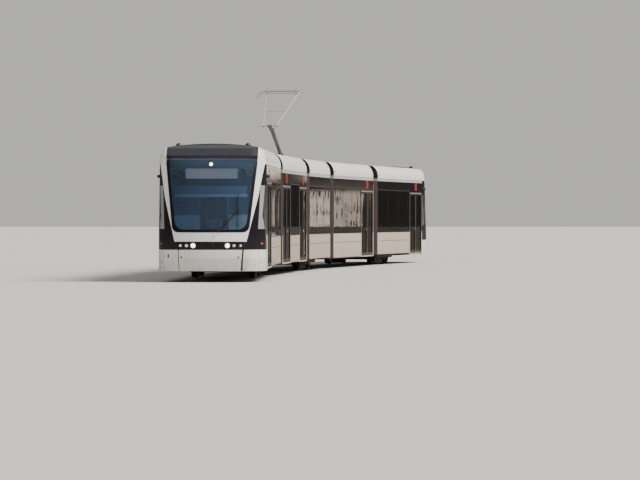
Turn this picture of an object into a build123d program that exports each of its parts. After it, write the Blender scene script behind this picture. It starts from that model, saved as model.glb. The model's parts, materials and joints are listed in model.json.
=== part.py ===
"""A five-section low-floor tram, standing on its wheels with its sections bent a little, as on a wide curve.

All sizes are in millimetres. +X points towards the leading cab, +Y to the left, +Z up. The origin is
under the centre of the middle section, level with the lowest points of the wheel flanges. Heights in
the tables are above the top of the rail, and every section is lifted by the flange depth when placed.
The tram is the same from both ends: section 5 is section 1 turned half round, and 4 is 2 turned round.
"""
import math
import os

from build123d import *

# Driving sizes along the tram
CAB_LENGTH = 1350
DOORWAY = 1820
BOGIE_BAY = 4350
HANGING_BAY = 1940
MIDDLE_BODY = 3820
GAP = 640

# Rest angles at the four articulations, in degrees, all bending towards the left side
BEND_1_2 = 4.3
BEND_2_3 = 2.9
BEND_3_4 = 4.5
BEND_4_5 = 2.1

# Driving sizes across and up the body, as heights above the rail
BODY_WIDTH = 2650
WALL = 70
FLANGE_DEPTH = 26
SOLEBAR = 306
BOGIE_SKIRT = 334
SKIRT_TOP = 790
PANEL_GAP = 6
BELT = 1075
WINDOW_TOP = 2480
DOOR_BOTTOM = 290
DOOR_HEAD = 2400
EAVES = 2784
ROOF_TOP = 2875
FAIRING_TOP = 3300
DOME_TOP = 3390

# Glass, doors and frames
GLASS = 10
GLASS_REBATE = 12
WINDOW_RIM = 55
PANE_LENGTH = 1450
PANE_JOINT = 8
DOOR_JAMB = 60
DOOR_LEAF = 45
DOOR_STILE = 48
DOOR_KICK = 120
DOOR_SEAM = 8
DOOR_CLEARANCE = 5
END_POST_DEPTH = 120
LINTEL_DEPTH = 304

# Floor and articulation
LOW_FLOOR = 360
BOGIE_FLOOR = 440
FLOOR_PLATE = 60
RAMP = 540
WHEEL_BOX_HALF = 1300
WHEEL_BOX_INNER = 610
WHEEL_BOX_TOP = 700
WHEEL_BOX_PLATE = 40
TURNTABLE_RADIUS = 620
TURNTABLE_CLEARANCE = 10
PIVOT_PIN_RADIUS = 60
PIVOT_FIT = 0.5
PIVOT_COLLAR_RADIUS = 110
PIVOT_COLLAR = 30
LINK_ARM = 85
LINK_ARM_WIDTH = 300
LINK_ARM_REACH = 400
LINK_ARM_ROOT = 300
LINK_TO_TURNTABLE = 15
SEAT_GAP = 0.3
CAB_FLOOR_HALF = 1150
BUMPER_BEAM_Y = 480
BUMPER_BEAM_WIDTH = 120
BUMPER_BEAM_DROP = 60
BUMPER_BEAM_OVERLAP = 200
BELLOWS_WIDTH = BODY_WIDTH - 210
BELLOWS_WALL = 130
BELLOWS_BOTTOM = 300
BELLOWS_TOP = 2740

# Running gear
WHEEL_RADIUS = 300
WHEEL_WIDTH = 135
WHEEL_WEB = 40
FLANGE_WIDTH = 32
BACK_TO_BACK = 1365
AXLE_RADIUS = 55
WHEELBASE = 1850
BOGIE_BEAM_Y = 930
BOGIE_BEAM_WIDTH = 110
BOGIE_BEAM_HEIGHT = 150
AXLE_END = 1010
BEARING_FIT = 0.5
TRACK_BRAKE_LENGTH = 1000

# Roof fairings and gear
FAIRING_SHELL = 30
FAIRING_INNER_Y = 1130
FAIRING_FOOT = 100
FAIRING_END_GAP = 20

# Cab nose: the front's plan curve, its shell, and the outlines seen from the front
FRONT_RADIUS = 2850
CAB_SHELL = 45
BAND_BOTTOM = 778
BAND_TOP = 966
WINDSCREEN_BOTTOM = 1200
WINDSCREEN_TOP = 3000
BUMPER_SEAM = 8
BUMPER_CENTRE_Y = 780
DOME_SHOULDER = 195
SCREEN_WAIST_IN = 50
SCREEN_FOOT_IN = 180
NOSE_TAIL = 700
DISPLAY_HALF = 660
DISPLAY_HEIGHT = 290
DISPLAY_DEPTH = 60
DISPLAY_BEHIND_GLASS = 160

# Pantograph: pin places on the middle section, as distance ahead of its centre and height
PANTO_FOOT = (-600, 3480)
PANTO_KNEE = (1200, 4300)
PANTO_HEAD = (-940, 5380)
PANTO_ROD_FOOT = (-330, 3400)
PANTO_TAIL = 150
PANTO_KNEE_WIDTH = 410
PANTO_APEX_WIDTH = 1000
STRIP_LENGTH = 1050
HEAD_WIDTH = 1550
STRIP_SPACING = 300

# How far a cutter reaches past what it cuts
CUT_PAST = 100

# Sizes that follow
HALF_WIDTH = BODY_WIDTH / 2
DOME_HALF_WIDTH = HALF_WIDTH - DOME_SHOULDER
INNER_FACE = HALF_WIDTH - WALL
END_LENGTH = GAP / 2 + BOGIE_BAY + DOORWAY + CAB_LENGTH
HUNG_LENGTH = GAP + 2 * DOORWAY + HANGING_BAY
MIDDLE_LENGTH = GAP + MIDDLE_BODY
CAB_BACK = END_LENGTH - CAB_LENGTH
CAB_FLOOR_END = END_LENGTH - 780
BUMPER_BEAM_END = END_LENGTH - 250
BOGIE_CENTRE = {"end": GAP / 2 + BOGIE_BAY / 2, "middle": 0}

# Each kind of section: where its body starts and ends, and whether it stands on a bogie
BODY_SPAN = {
    "end": (GAP / 2, CAB_BACK),
    "hung": (-HUNG_LENGTH / 2 + GAP / 2, HUNG_LENGTH / 2 - GAP / 2),
    "middle": (-MIDDLE_BODY / 2, MIDDLE_BODY / 2),
}
# Rear edge of each doorway, for the left side (1) and the right side (-1)
DOORWAYS = {
    ("end", 1): [CAB_BACK - DOORWAY],
    ("end", -1): [CAB_BACK - DOORWAY],
    ("hung", 1): [-HANGING_BAY / 2 - DOORWAY, HANGING_BAY / 2],
    ("hung", -1): [HANGING_BAY / 2],
    ("middle", 1): [],
    ("middle", -1): [],
}

# The five sections: number, kind, heading, and the place of its own origin
HEADING_2 = BEND_2_3
HEADING_1 = BEND_2_3 + BEND_1_2
HEADING_4 = -BEND_3_4
HEADING_5 = -BEND_3_4 - BEND_4_5


def along(point, heading, distance):
    """The point that lies a distance from another in a heading given in degrees."""
    turn = math.radians(heading)
    return (point[0] + distance * math.cos(turn), point[1] + distance * math.sin(turn))


PIVOT_2_3 = (MIDDLE_LENGTH / 2, 0)
PIVOT_3_4 = (-MIDDLE_LENGTH / 2, 0)
CENTRE_2 = along(PIVOT_2_3, HEADING_2, HUNG_LENGTH / 2)
PIVOT_1_2 = along(PIVOT_2_3, HEADING_2, HUNG_LENGTH)
CENTRE_4 = along(PIVOT_3_4, HEADING_4, -HUNG_LENGTH / 2)
PIVOT_4_5 = along(PIVOT_3_4, HEADING_4, -HUNG_LENGTH)
SECTIONS = [
    (1, "end", HEADING_1, PIVOT_1_2),
    (2, "hung", HEADING_2, CENTRE_2),
    (3, "middle", 0, (0, 0)),
    (4, "hung", HEADING_4 + 180, CENTRE_4),
    (5, "end", HEADING_5 + 180, PIVOT_4_5),
]


# Small helpers
def block(x0, x1, y0, y1, z0, z1):
    """A box between two corners."""
    return Pos((x0 + x1) / 2, (y0 + y1) / 2, (z0 + z1) / 2) * Box(x1 - x0, y1 - y0, z1 - z0)


def upright(x, y, z0, z1, radius):
    """A round bar standing from one height to another."""
    return Pos(x, y, (z0 + z1) / 2) * Cylinder(radius, z1 - z0)


def crossbar(x, z, y0, y1, radius):
    """A round bar lying across the tram."""
    return Pos(x, (y0 + y1) / 2, z) * Rot(90, 0, 0) * Cylinder(radius, y1 - y0)


def bar(start, end, radius):
    """A round bar between two points."""
    line = Vector(*end) - Vector(*start)
    plane = Plane(origin=start, z_dir=line)
    return extrude(plane * Circle(radius), amount=line.length)


def side_profile(points, y0, y1):
    """An outline of (x, height) points, given its thickness across the tram."""
    face = make_face(Polyline(*[(x, y0, z) for x, z in points], close=True))
    return extrude(face, amount=y1 - y0, dir=(0, 1, 0))


def front_profile(points, x0, x1):
    """An outline of (y, height) points, given its length along the tram."""
    face = make_face(Polyline(*[(x0, y, z) for y, z in points], close=True))
    return extrude(face, amount=x1 - x0, dir=(1, 0, 0))


# Side walls, glass and doors
def bays(kind, side):
    """The stretches of wall between the doorways of one side."""
    start, end = BODY_SPAN[kind]
    stretches = []
    for door in DOORWAYS[kind, side]:
        if door > start:
            stretches.append((start, door))
        start = door + DOORWAY
    if start < end:
        stretches.append((start, end))
    return stretches


def panes(bay):
    """The panes that fill a bay, none much longer than the usual pane."""
    start, end = bay[0] + WINDOW_RIM / 2, bay[1] - WINDOW_RIM / 2
    count = max(1, round((end - start) / PANE_LENGTH))
    step = (end - start) / count
    joints = [start + i * step for i in range(count)]
    return [(joint + PANE_JOINT / 2, joint + step - PANE_JOINT / 2) for joint in joints]


def side_wall(kind, side):
    """One side wall: window openings, doorways, and a post at each open end of the body."""
    start, end = BODY_SPAN[kind]
    wall = block(start, end, INNER_FACE, HALF_WIDTH, DOOR_BOTTOM, EAVES)
    inside = INNER_FACE - 1
    outside = HALF_WIDTH + 1
    for bay in bays(kind, side):
        wall -= block(bay[0], bay[1], inside, outside, DOOR_BOTTOM - 1, SKIRT_TOP + PANEL_GAP)
        rebate = HALF_WIDTH - GLASS_REBATE
        row = panes(bay)
        wall -= block(row[0][0], row[-1][1], rebate, outside, BELT, WINDOW_TOP)
        for left, right in row:
            low, high = BELT + WINDOW_RIM, WINDOW_TOP - WINDOW_RIM
            wall -= block(left + WINDOW_RIM, right - WINDOW_RIM, inside, outside, low, high)
    for door in DOORWAYS[kind, side]:
        left, right = door + DOOR_JAMB, door + DOORWAY - DOOR_JAMB
        wall -= block(left, right, inside, outside, DOOR_BOTTOM - 1, DOOR_HEAD)
    for x in open_ends(kind):
        inward = DOOR_JAMB if x == start else -DOOR_JAMB
        x0, x1 = sorted((x, x + inward))
        wall += block(x0, x1, INNER_FACE - END_POST_DEPTH, INNER_FACE, LOW_FLOOR, EAVES)
    return wall if side == 1 else mirror(wall, about=Plane.XZ)


def open_ends(kind):
    """The ends of a body that open into a gangway."""
    start, end = BODY_SPAN[kind]
    return [start] if kind == "end" else [start, end]


def skirt(kind, side, bay):
    """The painted panel below the hatch line of one bay."""
    bottom = SOLEBAR if kind == "hung" else BOGIE_SKIRT
    panel = block(bay[0], bay[1], INNER_FACE, HALF_WIDTH, bottom, SKIRT_TOP)
    return panel if side == 1 else mirror(panel, about=Plane.XZ)


def walls(kind):
    """Both side walls and the skirt panels under them."""
    shapes = []
    for side in (1, -1):
        shapes.append(side_wall(kind, side))
        shapes += [skirt(kind, side, bay) for bay in bays(kind, side)]
    return shapes


def leaf_spans(door):
    """The two leaves of a doorway, as stretches along the side."""
    left = door + DOOR_JAMB + DOOR_CLEARANCE
    right = door + DOORWAY - DOOR_JAMB - DOOR_CLEARANCE
    middle = (left + right) / 2
    return [(left, middle - DOOR_SEAM / 2), (middle + DOOR_SEAM / 2, right)]


def leaf_opening(left, right):
    """The glazed opening of a leaf: its ends, its foot and its head."""
    return left + DOOR_STILE, right - DOOR_STILE, DOOR_BOTTOM + DOOR_KICK, DOOR_HEAD - DOOR_STILE


def doors(kind):
    """The leaves of all doorways, closed, each a frame round its glass."""
    shapes = []
    for side in (1, -1):
        for door in DOORWAYS[kind, side]:
            for left, right in leaf_spans(door):
                leaf = block(left, right, HALF_WIDTH - DOOR_LEAF, HALF_WIDTH, DOOR_BOTTOM, DOOR_HEAD)
                x0, x1, foot, head = leaf_opening(left, right)
                leaf -= block(x0, x1, INNER_FACE, HALF_WIDTH + 1, foot, head)
                shapes.append(leaf if side == 1 else mirror(leaf, about=Plane.XZ))
    return shapes


def side_glass(kind):
    """Window panes in their rebates and the glass of the door leaves."""
    shapes = []
    for side in (1, -1):
        flat = []
        back = HALF_WIDTH - GLASS_REBATE
        for bay in bays(kind, side):
            flat += [block(left, right, back, back + GLASS, BELT, WINDOW_TOP) for left, right in panes(bay)]
        middle = HALF_WIDTH - DOOR_LEAF / 2
        for door in DOORWAYS[kind, side]:
            for left, right in leaf_spans(door):
                x0, x1, foot, head = leaf_opening(left, right)
                flat.append(block(x0, x1, middle - GLASS / 2, middle + GLASS / 2, foot, head))
        shapes += [pane if side == 1 else mirror(pane, about=Plane.XZ) for pane in flat]
    return shapes


# Floor, turntables and the links between sections
def floor(kind):
    """The floor of a section, raised over a bogie, with wheel boxes, and shaped for its gangways."""
    start, end = BODY_SPAN[kind]
    if kind == "hung":
        deck = block(start, end, -INNER_FACE, INNER_FACE, LOW_FLOOR - FLOOR_PLATE, LOW_FLOOR)
        for direction in (-1, 1):
            pivot = direction * HUNG_LENGTH / 2
            deck -= upright(pivot, 0, 0, LOW_FLOOR + 1, TURNTABLE_RADIUS + TURNTABLE_CLEARANCE)
            deck += link_arm(direction)
        return [deck]
    centre = BOGIE_CENTRE[kind]
    near, far = centre - WHEEL_BOX_HALF, centre + WHEEL_BOX_HALF
    low_end = max(near - RAMP, start)
    high_end = min(far + RAMP, end)
    top = [(low_end, LOW_FLOOR), (near, BOGIE_FLOOR), (far, BOGIE_FLOOR), (high_end, LOW_FLOOR)]
    if low_end > start:
        top.insert(0, (start, LOW_FLOOR))
    if high_end < end:
        top.append((end, LOW_FLOOR))
    under = [(x, z - FLOOR_PLATE) for x, z in reversed(top)]
    deck = side_profile(top + under, -INNER_FACE, INNER_FACE)
    for side in (1, -1):
        y0, y1 = sorted((side * WHEEL_BOX_INNER, side * INNER_FACE))
        deck += block(near, far, y0, y1, LOW_FLOOR, WHEEL_BOX_TOP)
        y0, y1 = sorted((side * (WHEEL_BOX_INNER + WHEEL_BOX_PLATE), side * (INNER_FACE + 1)))
        plate = WHEEL_BOX_PLATE
        deck -= block(near + plate, far - plate, y0, y1, 0, WHEEL_BOX_TOP - plate)
    for x in open_ends(kind):
        pivot = 0 if kind == "end" else math.copysign(MIDDLE_LENGTH / 2, x)
        deck += turntable(pivot)
    if kind == "end":
        deck += cab_floor()
    return [deck]


def turntable(pivot):
    """The round gangway plate over a pivot, with the pin that hangs below it and its collar."""
    plate_bottom = LOW_FLOOR - FLOOR_PLATE
    arm_top = plate_bottom - LINK_TO_TURNTABLE
    collar_top = arm_top - LINK_ARM - SEAT_GAP
    plate = upright(pivot, 0, plate_bottom, LOW_FLOOR, TURNTABLE_RADIUS)
    pin = upright(pivot, 0, collar_top - PIVOT_COLLAR, LOW_FLOOR, PIVOT_PIN_RADIUS)
    collar = upright(pivot, 0, collar_top - PIVOT_COLLAR, collar_top, PIVOT_COLLAR_RADIUS)
    return plate + pin + collar


def link_arm(direction):
    """The arm of a hung section that reaches out to the pin and lies on its collar."""
    pivot = direction * HUNG_LENGTH / 2
    top = LOW_FLOOR - FLOOR_PLATE - LINK_TO_TURNTABLE
    root = pivot - direction * (TURNTABLE_RADIUS + LINK_ARM_REACH)
    x0, x1 = sorted((pivot, root))
    arm = block(x0, x1, -LINK_ARM_WIDTH / 2, LINK_ARM_WIDTH / 2, top - LINK_ARM, top)
    arm += upright(pivot, 0, top - LINK_ARM, top, LINK_ARM_WIDTH / 2)
    x0, x1 = sorted((root, root + direction * LINK_ARM_ROOT))
    arm += block(x0, x1, -LINK_ARM_WIDTH / 2, LINK_ARM_WIDTH / 2, top - LINK_ARM, LOW_FLOOR - 1)
    return arm - upright(pivot, 0, 0, LOW_FLOOR, PIVOT_PIN_RADIUS + PIVOT_FIT)


def cab_floor():
    """The cab's floor and the two beams that carry the bumper."""
    plate_bottom = LOW_FLOOR - FLOOR_PLATE
    deck = block(CAB_BACK, CAB_FLOOR_END, -CAB_FLOOR_HALF, CAB_FLOOR_HALF, plate_bottom, LOW_FLOOR)
    for side in (1, -1):
        y0 = side * BUMPER_BEAM_Y - BUMPER_BEAM_WIDTH / 2
        y1 = y0 + BUMPER_BEAM_WIDTH
        start = CAB_FLOOR_END - BUMPER_BEAM_OVERLAP
        deck += block(start, BUMPER_BEAM_END, y0, y1, plate_bottom - BUMPER_BEAM_DROP, LOW_FLOOR)
    return deck


# Roof, fairings and roof gear
CAB_CEILING = 40


def roof(kind):
    """The roof plate with a lintel at each open end."""
    start, end = BODY_SPAN[kind]
    plate = block(start, end, -HALF_WIDTH, HALF_WIDTH, EAVES, ROOF_TOP)
    for x in open_ends(kind):
        x0, x1 = sorted((x, x + (DOOR_JAMB if x == start else -DOOR_JAMB)))
        reach = INNER_FACE - END_POST_DEPTH
        plate += block(x0, x1, -reach, reach, EAVES - LINTEL_DEPTH, EAVES)
    if kind == "end":
        plate += block(CAB_BACK, display_front(), -DISPLAY_HALF, DISPLAY_HALF, EAVES, EAVES + CAB_CEILING)
    return [plate]


SHOULDER_BULGE = (42, 262)


def shoulder(inset):
    """The rounded shoulder of the roof as an arc in (y, height), offset inwards."""
    inward, up = SHOULDER_BULGE
    lower = (HALF_WIDTH - inset, ROOF_TOP)
    middle = (HALF_WIDTH - inward - inset * 0.93, ROOF_TOP + up - inset * 0.3)
    upper = (FAIRING_INNER_Y - inset * 0.35, FAIRING_TOP - inset * 0.94)
    return lower, middle, upper


def fairings(kind):
    """The two curved fairings on the edges of the roof, joined by plates at the open ends."""
    start, end = BODY_SPAN[kind]
    start += FAIRING_END_GAP
    if kind != "end":
        end -= FAIRING_END_GAP
    outer = shoulder(0)
    inner = shoulder(FAIRING_SHELL)
    at = [(start, y, z) for y, z in outer]
    back = [(start, y, z) for y, z in inner]
    foot = HALF_WIDTH - FAIRING_FOOT
    edge = Wire([
        ThreePointArc(*at),
        Line(at[2], back[2]),
        ThreePointArc(back[2], back[1], (start, inner[0][0], ROOF_TOP + FAIRING_SHELL)),
        Line((start, inner[0][0], ROOF_TOP + FAIRING_SHELL), (start, foot, ROOF_TOP + FAIRING_SHELL)),
        Line((start, foot, ROOF_TOP + FAIRING_SHELL), (start, foot, ROOF_TOP)),
        Line((start, foot, ROOF_TOP), at[0]),
    ])
    shape = extrude(make_face(edge), amount=end - start, dir=(1, 0, 0))
    shape += mirror(shape, about=Plane.XZ)
    shape += roof_end(start)
    if kind != "end":
        shape += roof_end(end - FAIRING_SHELL)
    return [shape]


def roof_end(x):
    """The plate that closes the end of a roof between its fairings."""
    lower, middle, upper = shoulder(FAIRING_SHELL / 2)
    left = [(x, y, z) for y, z in (lower, middle, upper)]
    right = [(x, -y, z) for y, z in (lower, middle, upper)]
    edge = Wire([
        Line(right[0], left[0]),
        ThreePointArc(*left),
        Line(left[2], right[2]),
        ThreePointArc(right[2], right[1], right[0]),
    ])
    return extrude(make_face(edge), amount=FAIRING_SHELL, dir=(1, 0, 0))


# Roof gear boxes of each kind of section: centre along the body, length, width, height
ROOF_GEAR = {
    "end": [(1500, 1900, 1700, 300), (3900, 2300, 1800, 330)],
    "hung": [(-1550, 1900, 1700, 330), (1250, 2500, 1700, 420)],
    "middle": [(1350, 800, 1500, 250), (-1480, 700, 1500, 250)],
}
ROOF_GEAR_BEVEL = 60


def roof_gear(kind):
    """The equipment boxes between the fairings, with bevelled long edges."""
    shapes = []
    for centre, length, width, height in ROOF_GEAR[kind]:
        half = width / 2
        bevel = ROOF_GEAR_BEVEL
        top = ROOF_TOP + height
        outline = [(-half, ROOF_TOP), (half, ROOF_TOP), (half, top - bevel), (half - bevel, top)]
        outline += [(bevel - half, top), (-half, top - bevel)]
        shapes.append(front_profile(outline, centre - length / 2, centre + length / 2))
    return shapes


# Cab nose, as plan outlines: height, distance behind the tip, width of the corner beside the front arc
NOSE_LEVELS = [
    (250, 80, 475),
    (560, 6, 475),
    (1000, 8, 475),
    (1300, 45, 475),
    (2100, 175, 455),
    (2850, 310, 425),
    (3080, 390, 425),
    (3260, 560, 425),
    (3360, 800, 425),
    (3400, 1150, 425),
]
# The levels that the windscreen and the cab's side windows span: the first, and one past the last
GLAZED_LEVELS = (1, 7)


def nose_outline(level, inset):
    """One plan outline of the nose: a front arc, two tangent corner arcs and two straight sides."""
    height, setback, corner_width = level
    front_half = HALF_WIDTH - corner_width
    slope = math.asin(front_half / FRONT_RADIUS)
    corner = corner_width / (1 - math.sin(slope))
    arc_centre = END_LENGTH - setback - FRONT_RADIUS
    corner_x = arc_centre + (FRONT_RADIUS - corner) * math.cos(slope)
    corner_y = (FRONT_RADIUS - corner) * math.sin(slope)
    front = FRONT_RADIUS - inset
    bend = corner - inset
    halfway = (slope + math.pi / 2) / 2
    join = (arc_centre + front * math.cos(slope), front * math.sin(slope))
    round_mid = (corner_x + bend * math.cos(halfway), corner_y + bend * math.sin(halfway))
    back = CAB_BACK - NOSE_TAIL
    half = [(back, corner_y + bend), (corner_x, corner_y + bend), round_mid, join]
    left = [(x, y, height) for x, y in half]
    right = [(x, -y, height) for x, y in half]
    return Wire([
        Line(left[0], left[1]),
        ThreePointArc(left[1], left[2], left[3]),
        ThreePointArc(left[3], (arc_centre + front, 0, height), right[3]),
        ThreePointArc(right[3], right[2], right[1]),
        Line(right[1], right[0]),
        Line(right[0], left[0]),
    ])


def roof_section(inset):
    """The cross-section of cab and roof, under a rounded shoulder and a low dome."""
    x = CAB_BACK
    left = [(x, y, z) for y, z in shoulder(inset)]
    right = [(x, -y, z) for y, z in shoulder(inset)]
    side = left[0][1]
    edge = Wire([
        Line((x, -side, 0), (x, side, 0)),
        Line((x, side, 0), left[0]),
        ThreePointArc(*left),
        ThreePointArc(left[2], (x, 0, DOME_TOP - inset), right[2]),
        ThreePointArc(right[2], right[1], right[0]),
        Line(right[0], (x, -side, 0)),
    ])
    return extrude(make_face(edge), amount=CAB_LENGTH + CUT_PAST, dir=(1, 0, 0))


def nose(inset):
    """The whole nose as a solid, drawn in by an inset, under its rounded roof."""
    levels = [nose_outline(level, inset) for level in NOSE_LEVELS]
    return loft([make_face(outline) for outline in levels], ruled=True) & roof_section(inset)


def glazed_nose(inset):
    """The stretch of the nose that holds the windows, as one smooth surface drawn in by an inset."""
    low, high = GLAZED_LEVELS
    levels = [nose_outline(level, inset) for level in NOSE_LEVELS[low:high]]
    return loft([make_face(outline) for outline in levels])


def screen_x(y, height):
    """Where the front of the nose is, for a place across it and a height, on the outside."""
    for low, high in zip(NOSE_LEVELS, NOSE_LEVELS[1:]):
        if low[0] <= height <= high[0]:
            share = (height - low[0]) / (high[0] - low[0])
            setback = low[1] + share * (high[1] - low[1])
            return END_LENGTH - setback - FRONT_RADIUS + math.sqrt(FRONT_RADIUS**2 - y**2)
    raise ValueError(height)


# The painted frame's edge, as (distance in from the side, height) from the bottom up
FRAME_EDGE = [(445, BAND_TOP), (178, 2060), (99, 2530), (35, ROOF_TOP)]
FRAME_EDGE += [(-CUT_PAST, ROOF_TOP), (-CUT_PAST, DOME_TOP + CUT_PAST)]
# Outlines seen from the front, as (y, height) of the left half from the bottom up
WINDSCREEN_SIDE = [(DOME_HALF_WIDTH - SCREEN_WAIST_IN, 2530), (DOME_HALF_WIDTH, WINDSCREEN_TOP)]
WINDSCREEN_CORNER = 160
WINDSCREEN_FOOT = DOME_HALF_WIDTH - SCREEN_FOOT_IN
CORNER_CHORDS = (0, 28, 56, 84)
FRAME_HALF = [(HALF_WIDTH - distance, height) for distance, height in FRAME_EDGE]
NOSE_DEPTH = (CAB_BACK - 1, END_LENGTH + CUT_PAST)
# The side window, as (distance ahead of the cab's back, height)
SIDE_WINDOW = [(40, 1250), (700, 1250), (800, 1600), (560, 2380), (40, 2380)]
# Lamps in the dark band: distance from the centre line, radius
LAMPS = [(420, 70), (582, 48), (739, 42)]
LAMP_HEIGHT = 875
LAMP_DEPTH = 70
LAMP_RECESS = 12
LAMP_FIT = 0.3


def windscreen_half():
    """The left half of the windscreen from the front, its lower corner rounded in short chords."""
    y, z = WINDSCREEN_FOOT - WINDSCREEN_CORNER, WINDSCREEN_BOTTOM + WINDSCREEN_CORNER
    turns = [math.radians(angle) for angle in CORNER_CHORDS]
    radius = WINDSCREEN_CORNER
    corner = [(y + radius * math.sin(turn), z - radius * math.cos(turn)) for turn in turns]
    return corner + WINDSCREEN_SIDE


def front_cut(half):
    """A cutter with a symmetric outline seen from the front."""
    outline = half + [(-y, z) for y, z in reversed(half)]
    return front_profile(outline, *NOSE_DEPTH)


def full_width(z0, z1):
    """A cutter right across the nose between two heights."""
    return block(*NOSE_DEPTH, -BODY_WIDTH, BODY_WIDTH, z0, z1)


def bumper(shell):
    """The bumper in three parts, its centre carried on the two floor beams."""
    shape = shell & full_width(0, BAND_BOTTOM - BUMPER_SEAM)
    inside = nose(CAB_SHELL / 2)
    for side in (1, -1):
        y = side * BUMPER_CENTRE_Y
        shape -= block(END_LENGTH - BODY_WIDTH / 4, END_LENGTH + CUT_PAST, y, y + BUMPER_SEAM, 0, BAND_BOTTOM)
    for side in (1, -1):
        y0 = side * BUMPER_BEAM_Y - BUMPER_BEAM_WIDTH / 2
        low = LOW_FLOOR - FLOOR_PLATE - BUMPER_BEAM_DROP
        bracket = block(BUMPER_BEAM_END, END_LENGTH, y0, y0 + BUMPER_BEAM_WIDTH, low, LOW_FLOOR)
        shape += bracket & inside
    return list(shape.solids())


def lamp_tube(y, radius, start, end):
    """A round bar along the tram at the lamps' height."""
    return Pos(start, y, LAMP_HEIGHT) * Rot(0, 90, 0) * extrude(Circle(radius), amount=end - start)


def cab_pieces():
    """The nose shell, split into its painted front, dark panels, bumper, glass and lamps."""
    shell = nose(0) - nose(CAB_SHELL)
    screen = front_cut(windscreen_half())
    frame = front_cut(FRAME_HALF)
    dome_cut = block(*NOSE_DEPTH, -DOME_HALF_WIDTH, DOME_HALF_WIDTH, WINDSCREEN_TOP, DOME_TOP + CUT_PAST)
    windows = side_profile([(CAB_BACK + x, z) for x, z in SIDE_WINDOW], -BODY_WIDTH, BODY_WIDTH)
    white = (shell & frame) - screen - dome_cut
    y, z = WIPER_PIVOT
    white -= Pos(CAB_BACK, y, z) * Rot(0, 90, 0) * extrude(Circle(WIPER_SHAFT + WIPER_FIT), amount=CAB_LENGTH)
    dark = (shell & full_width(BAND_BOTTOM, ROOF_TOP)) - frame - windows
    lamps = []
    for side in (1, -1):
        for y, radius in LAMPS:
            front = screen_x(y, LAMP_HEIGHT) - LAMP_RECESS
            dark -= lamp_tube(side * y, radius + LAMP_FIT, front - LAMP_DEPTH, END_LENGTH + CUT_PAST)
            lamps.append(lamp_tube(side * y, radius, front - LAMP_DEPTH, front))
    ahead = glazed_nose(0)
    behind = glazed_nose(GLASS)
    return {
        "cab_front": list(white.solids()) + bumper(shell),
        "cab_dark_panels": list(dark.solids()) + [shell & dome_cut],
        "cab_glass": [(ahead & screen) - behind] + list(((ahead & windows) - behind).solids()),
        "lamps": lamps,
    }


# Small pieces on the outside of the cab: places as (y, height) seen from the front
WIPER_PIVOT = (100, 1120)
WIPER_ELBOW = (690, 1750)
WIPER_BLADE = [(675, 1260), (675, 2150)]
WIPER_OFF = 45
WIPER_LIFT = 15
WIPER_ROD = 11
WIPER_SHAFT = 20
WIPER_FIT = 0.5
CAMERA_HEIGHT = 2580
CAMERA_BEHIND_TIP = 1090
CAMERA_PROUD = 75
CAMERA_X = END_LENGTH - CAMERA_BEHIND_TIP
CAMERA_REACH = HALF_WIDTH + CAMERA_PROUD
CAMERA_LENGTH = 120
CAMERA_DEPTH = 90


def display_front():
    """The front of the destination display, behind the windscreen."""
    return screen_x(DISPLAY_HALF, EAVES) - DISPLAY_BEHIND_GLASS


def on_screen(point, away):
    """A point a little in front of the nose, from its place seen from the front."""
    return (screen_x(*point) + away, *point)


def cab_fittings():
    """Wiper, rear-view camera arms, and the destination display behind the windscreen."""
    raised = WIPER_OFF + WIPER_LIFT
    arm = bar(on_screen(WIPER_PIVOT, WIPER_OFF), on_screen(WIPER_ELBOW, raised), WIPER_ROD)
    blade = bar(on_screen(WIPER_BLADE[0], WIPER_OFF), on_screen(WIPER_BLADE[1], WIPER_OFF), WIPER_ROD)
    inside = on_screen(WIPER_PIVOT, -2 * CAB_SHELL)
    shaft = Pos(*inside) * Rot(0, 90, 0) * extrude(Circle(WIPER_SHAFT), amount=2 * CAB_SHELL + raised)
    shapes = [arm + blade + shaft]
    for side in (1, -1):
        y0, y1 = sorted((side * HALF_WIDTH, side * CAMERA_REACH))
        x0, z0 = CAMERA_X - CAMERA_LENGTH / 2, CAMERA_HEIGHT - CAMERA_DEPTH / 2
        shapes.append(block(x0, x0 + CAMERA_LENGTH, y0, y1, z0, z0 + CAMERA_DEPTH))
    x = display_front()
    shapes.append(block(x - DISPLAY_DEPTH, x, -DISPLAY_HALF, DISPLAY_HALF, EAVES - DISPLAY_HEIGHT, EAVES))
    return shapes


# Seats, desk and poles; outlines as (distance from the back edge, height above the base)
SEAT_WIDTH = 560
SEAT_DEPTH = 430
SEAT_SIDE_GAP = 20
SEAT_OUTLINE = [
    (70, 0),
    (350, 0),
    (370, 95),
    (SEAT_DEPTH, 110),
    (SEAT_DEPTH, 165),
    (70, 150),
    (20, 640),
    (-35, 640),
    (0, 90),
    (60, 60),
]
PLINTH = 270
PLINTH_SPAN = (70, 350)


def seat(x, side, facing, base):
    """A seat on its pedestal, facing along the tram."""
    points = [(x + facing * dx, base + dz) for dx, dz in SEAT_OUTLINE]
    y1 = INNER_FACE - SEAT_SIDE_GAP
    shape = side_profile(points, y1 - SEAT_WIDTH, y1)
    return shape if side == 1 else mirror(shape, about=Plane.XZ)


def seat_on_plinth(x, side, facing):
    """A seat on the low floor, its pedestal lengthened by a plinth."""
    x0, x1 = sorted(x + facing * dx for dx in PLINTH_SPAN)
    inner = INNER_FACE - SEAT_SIDE_GAP - SEAT_WIDTH
    y0, y1 = sorted((side * inner, side * (inner + SEAT_WIDTH)))
    return block(x0, x1, y0, y1, LOW_FLOOR, LOW_FLOOR + PLINTH) + seat(x, side, facing, LOW_FLOOR + PLINTH)


# Seats over a wheel box: place from the bogie's centre, facing
BOX_SEATS = [(-1250, 1), (-45, -1), (45, 1), (1250, -1)]
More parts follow.
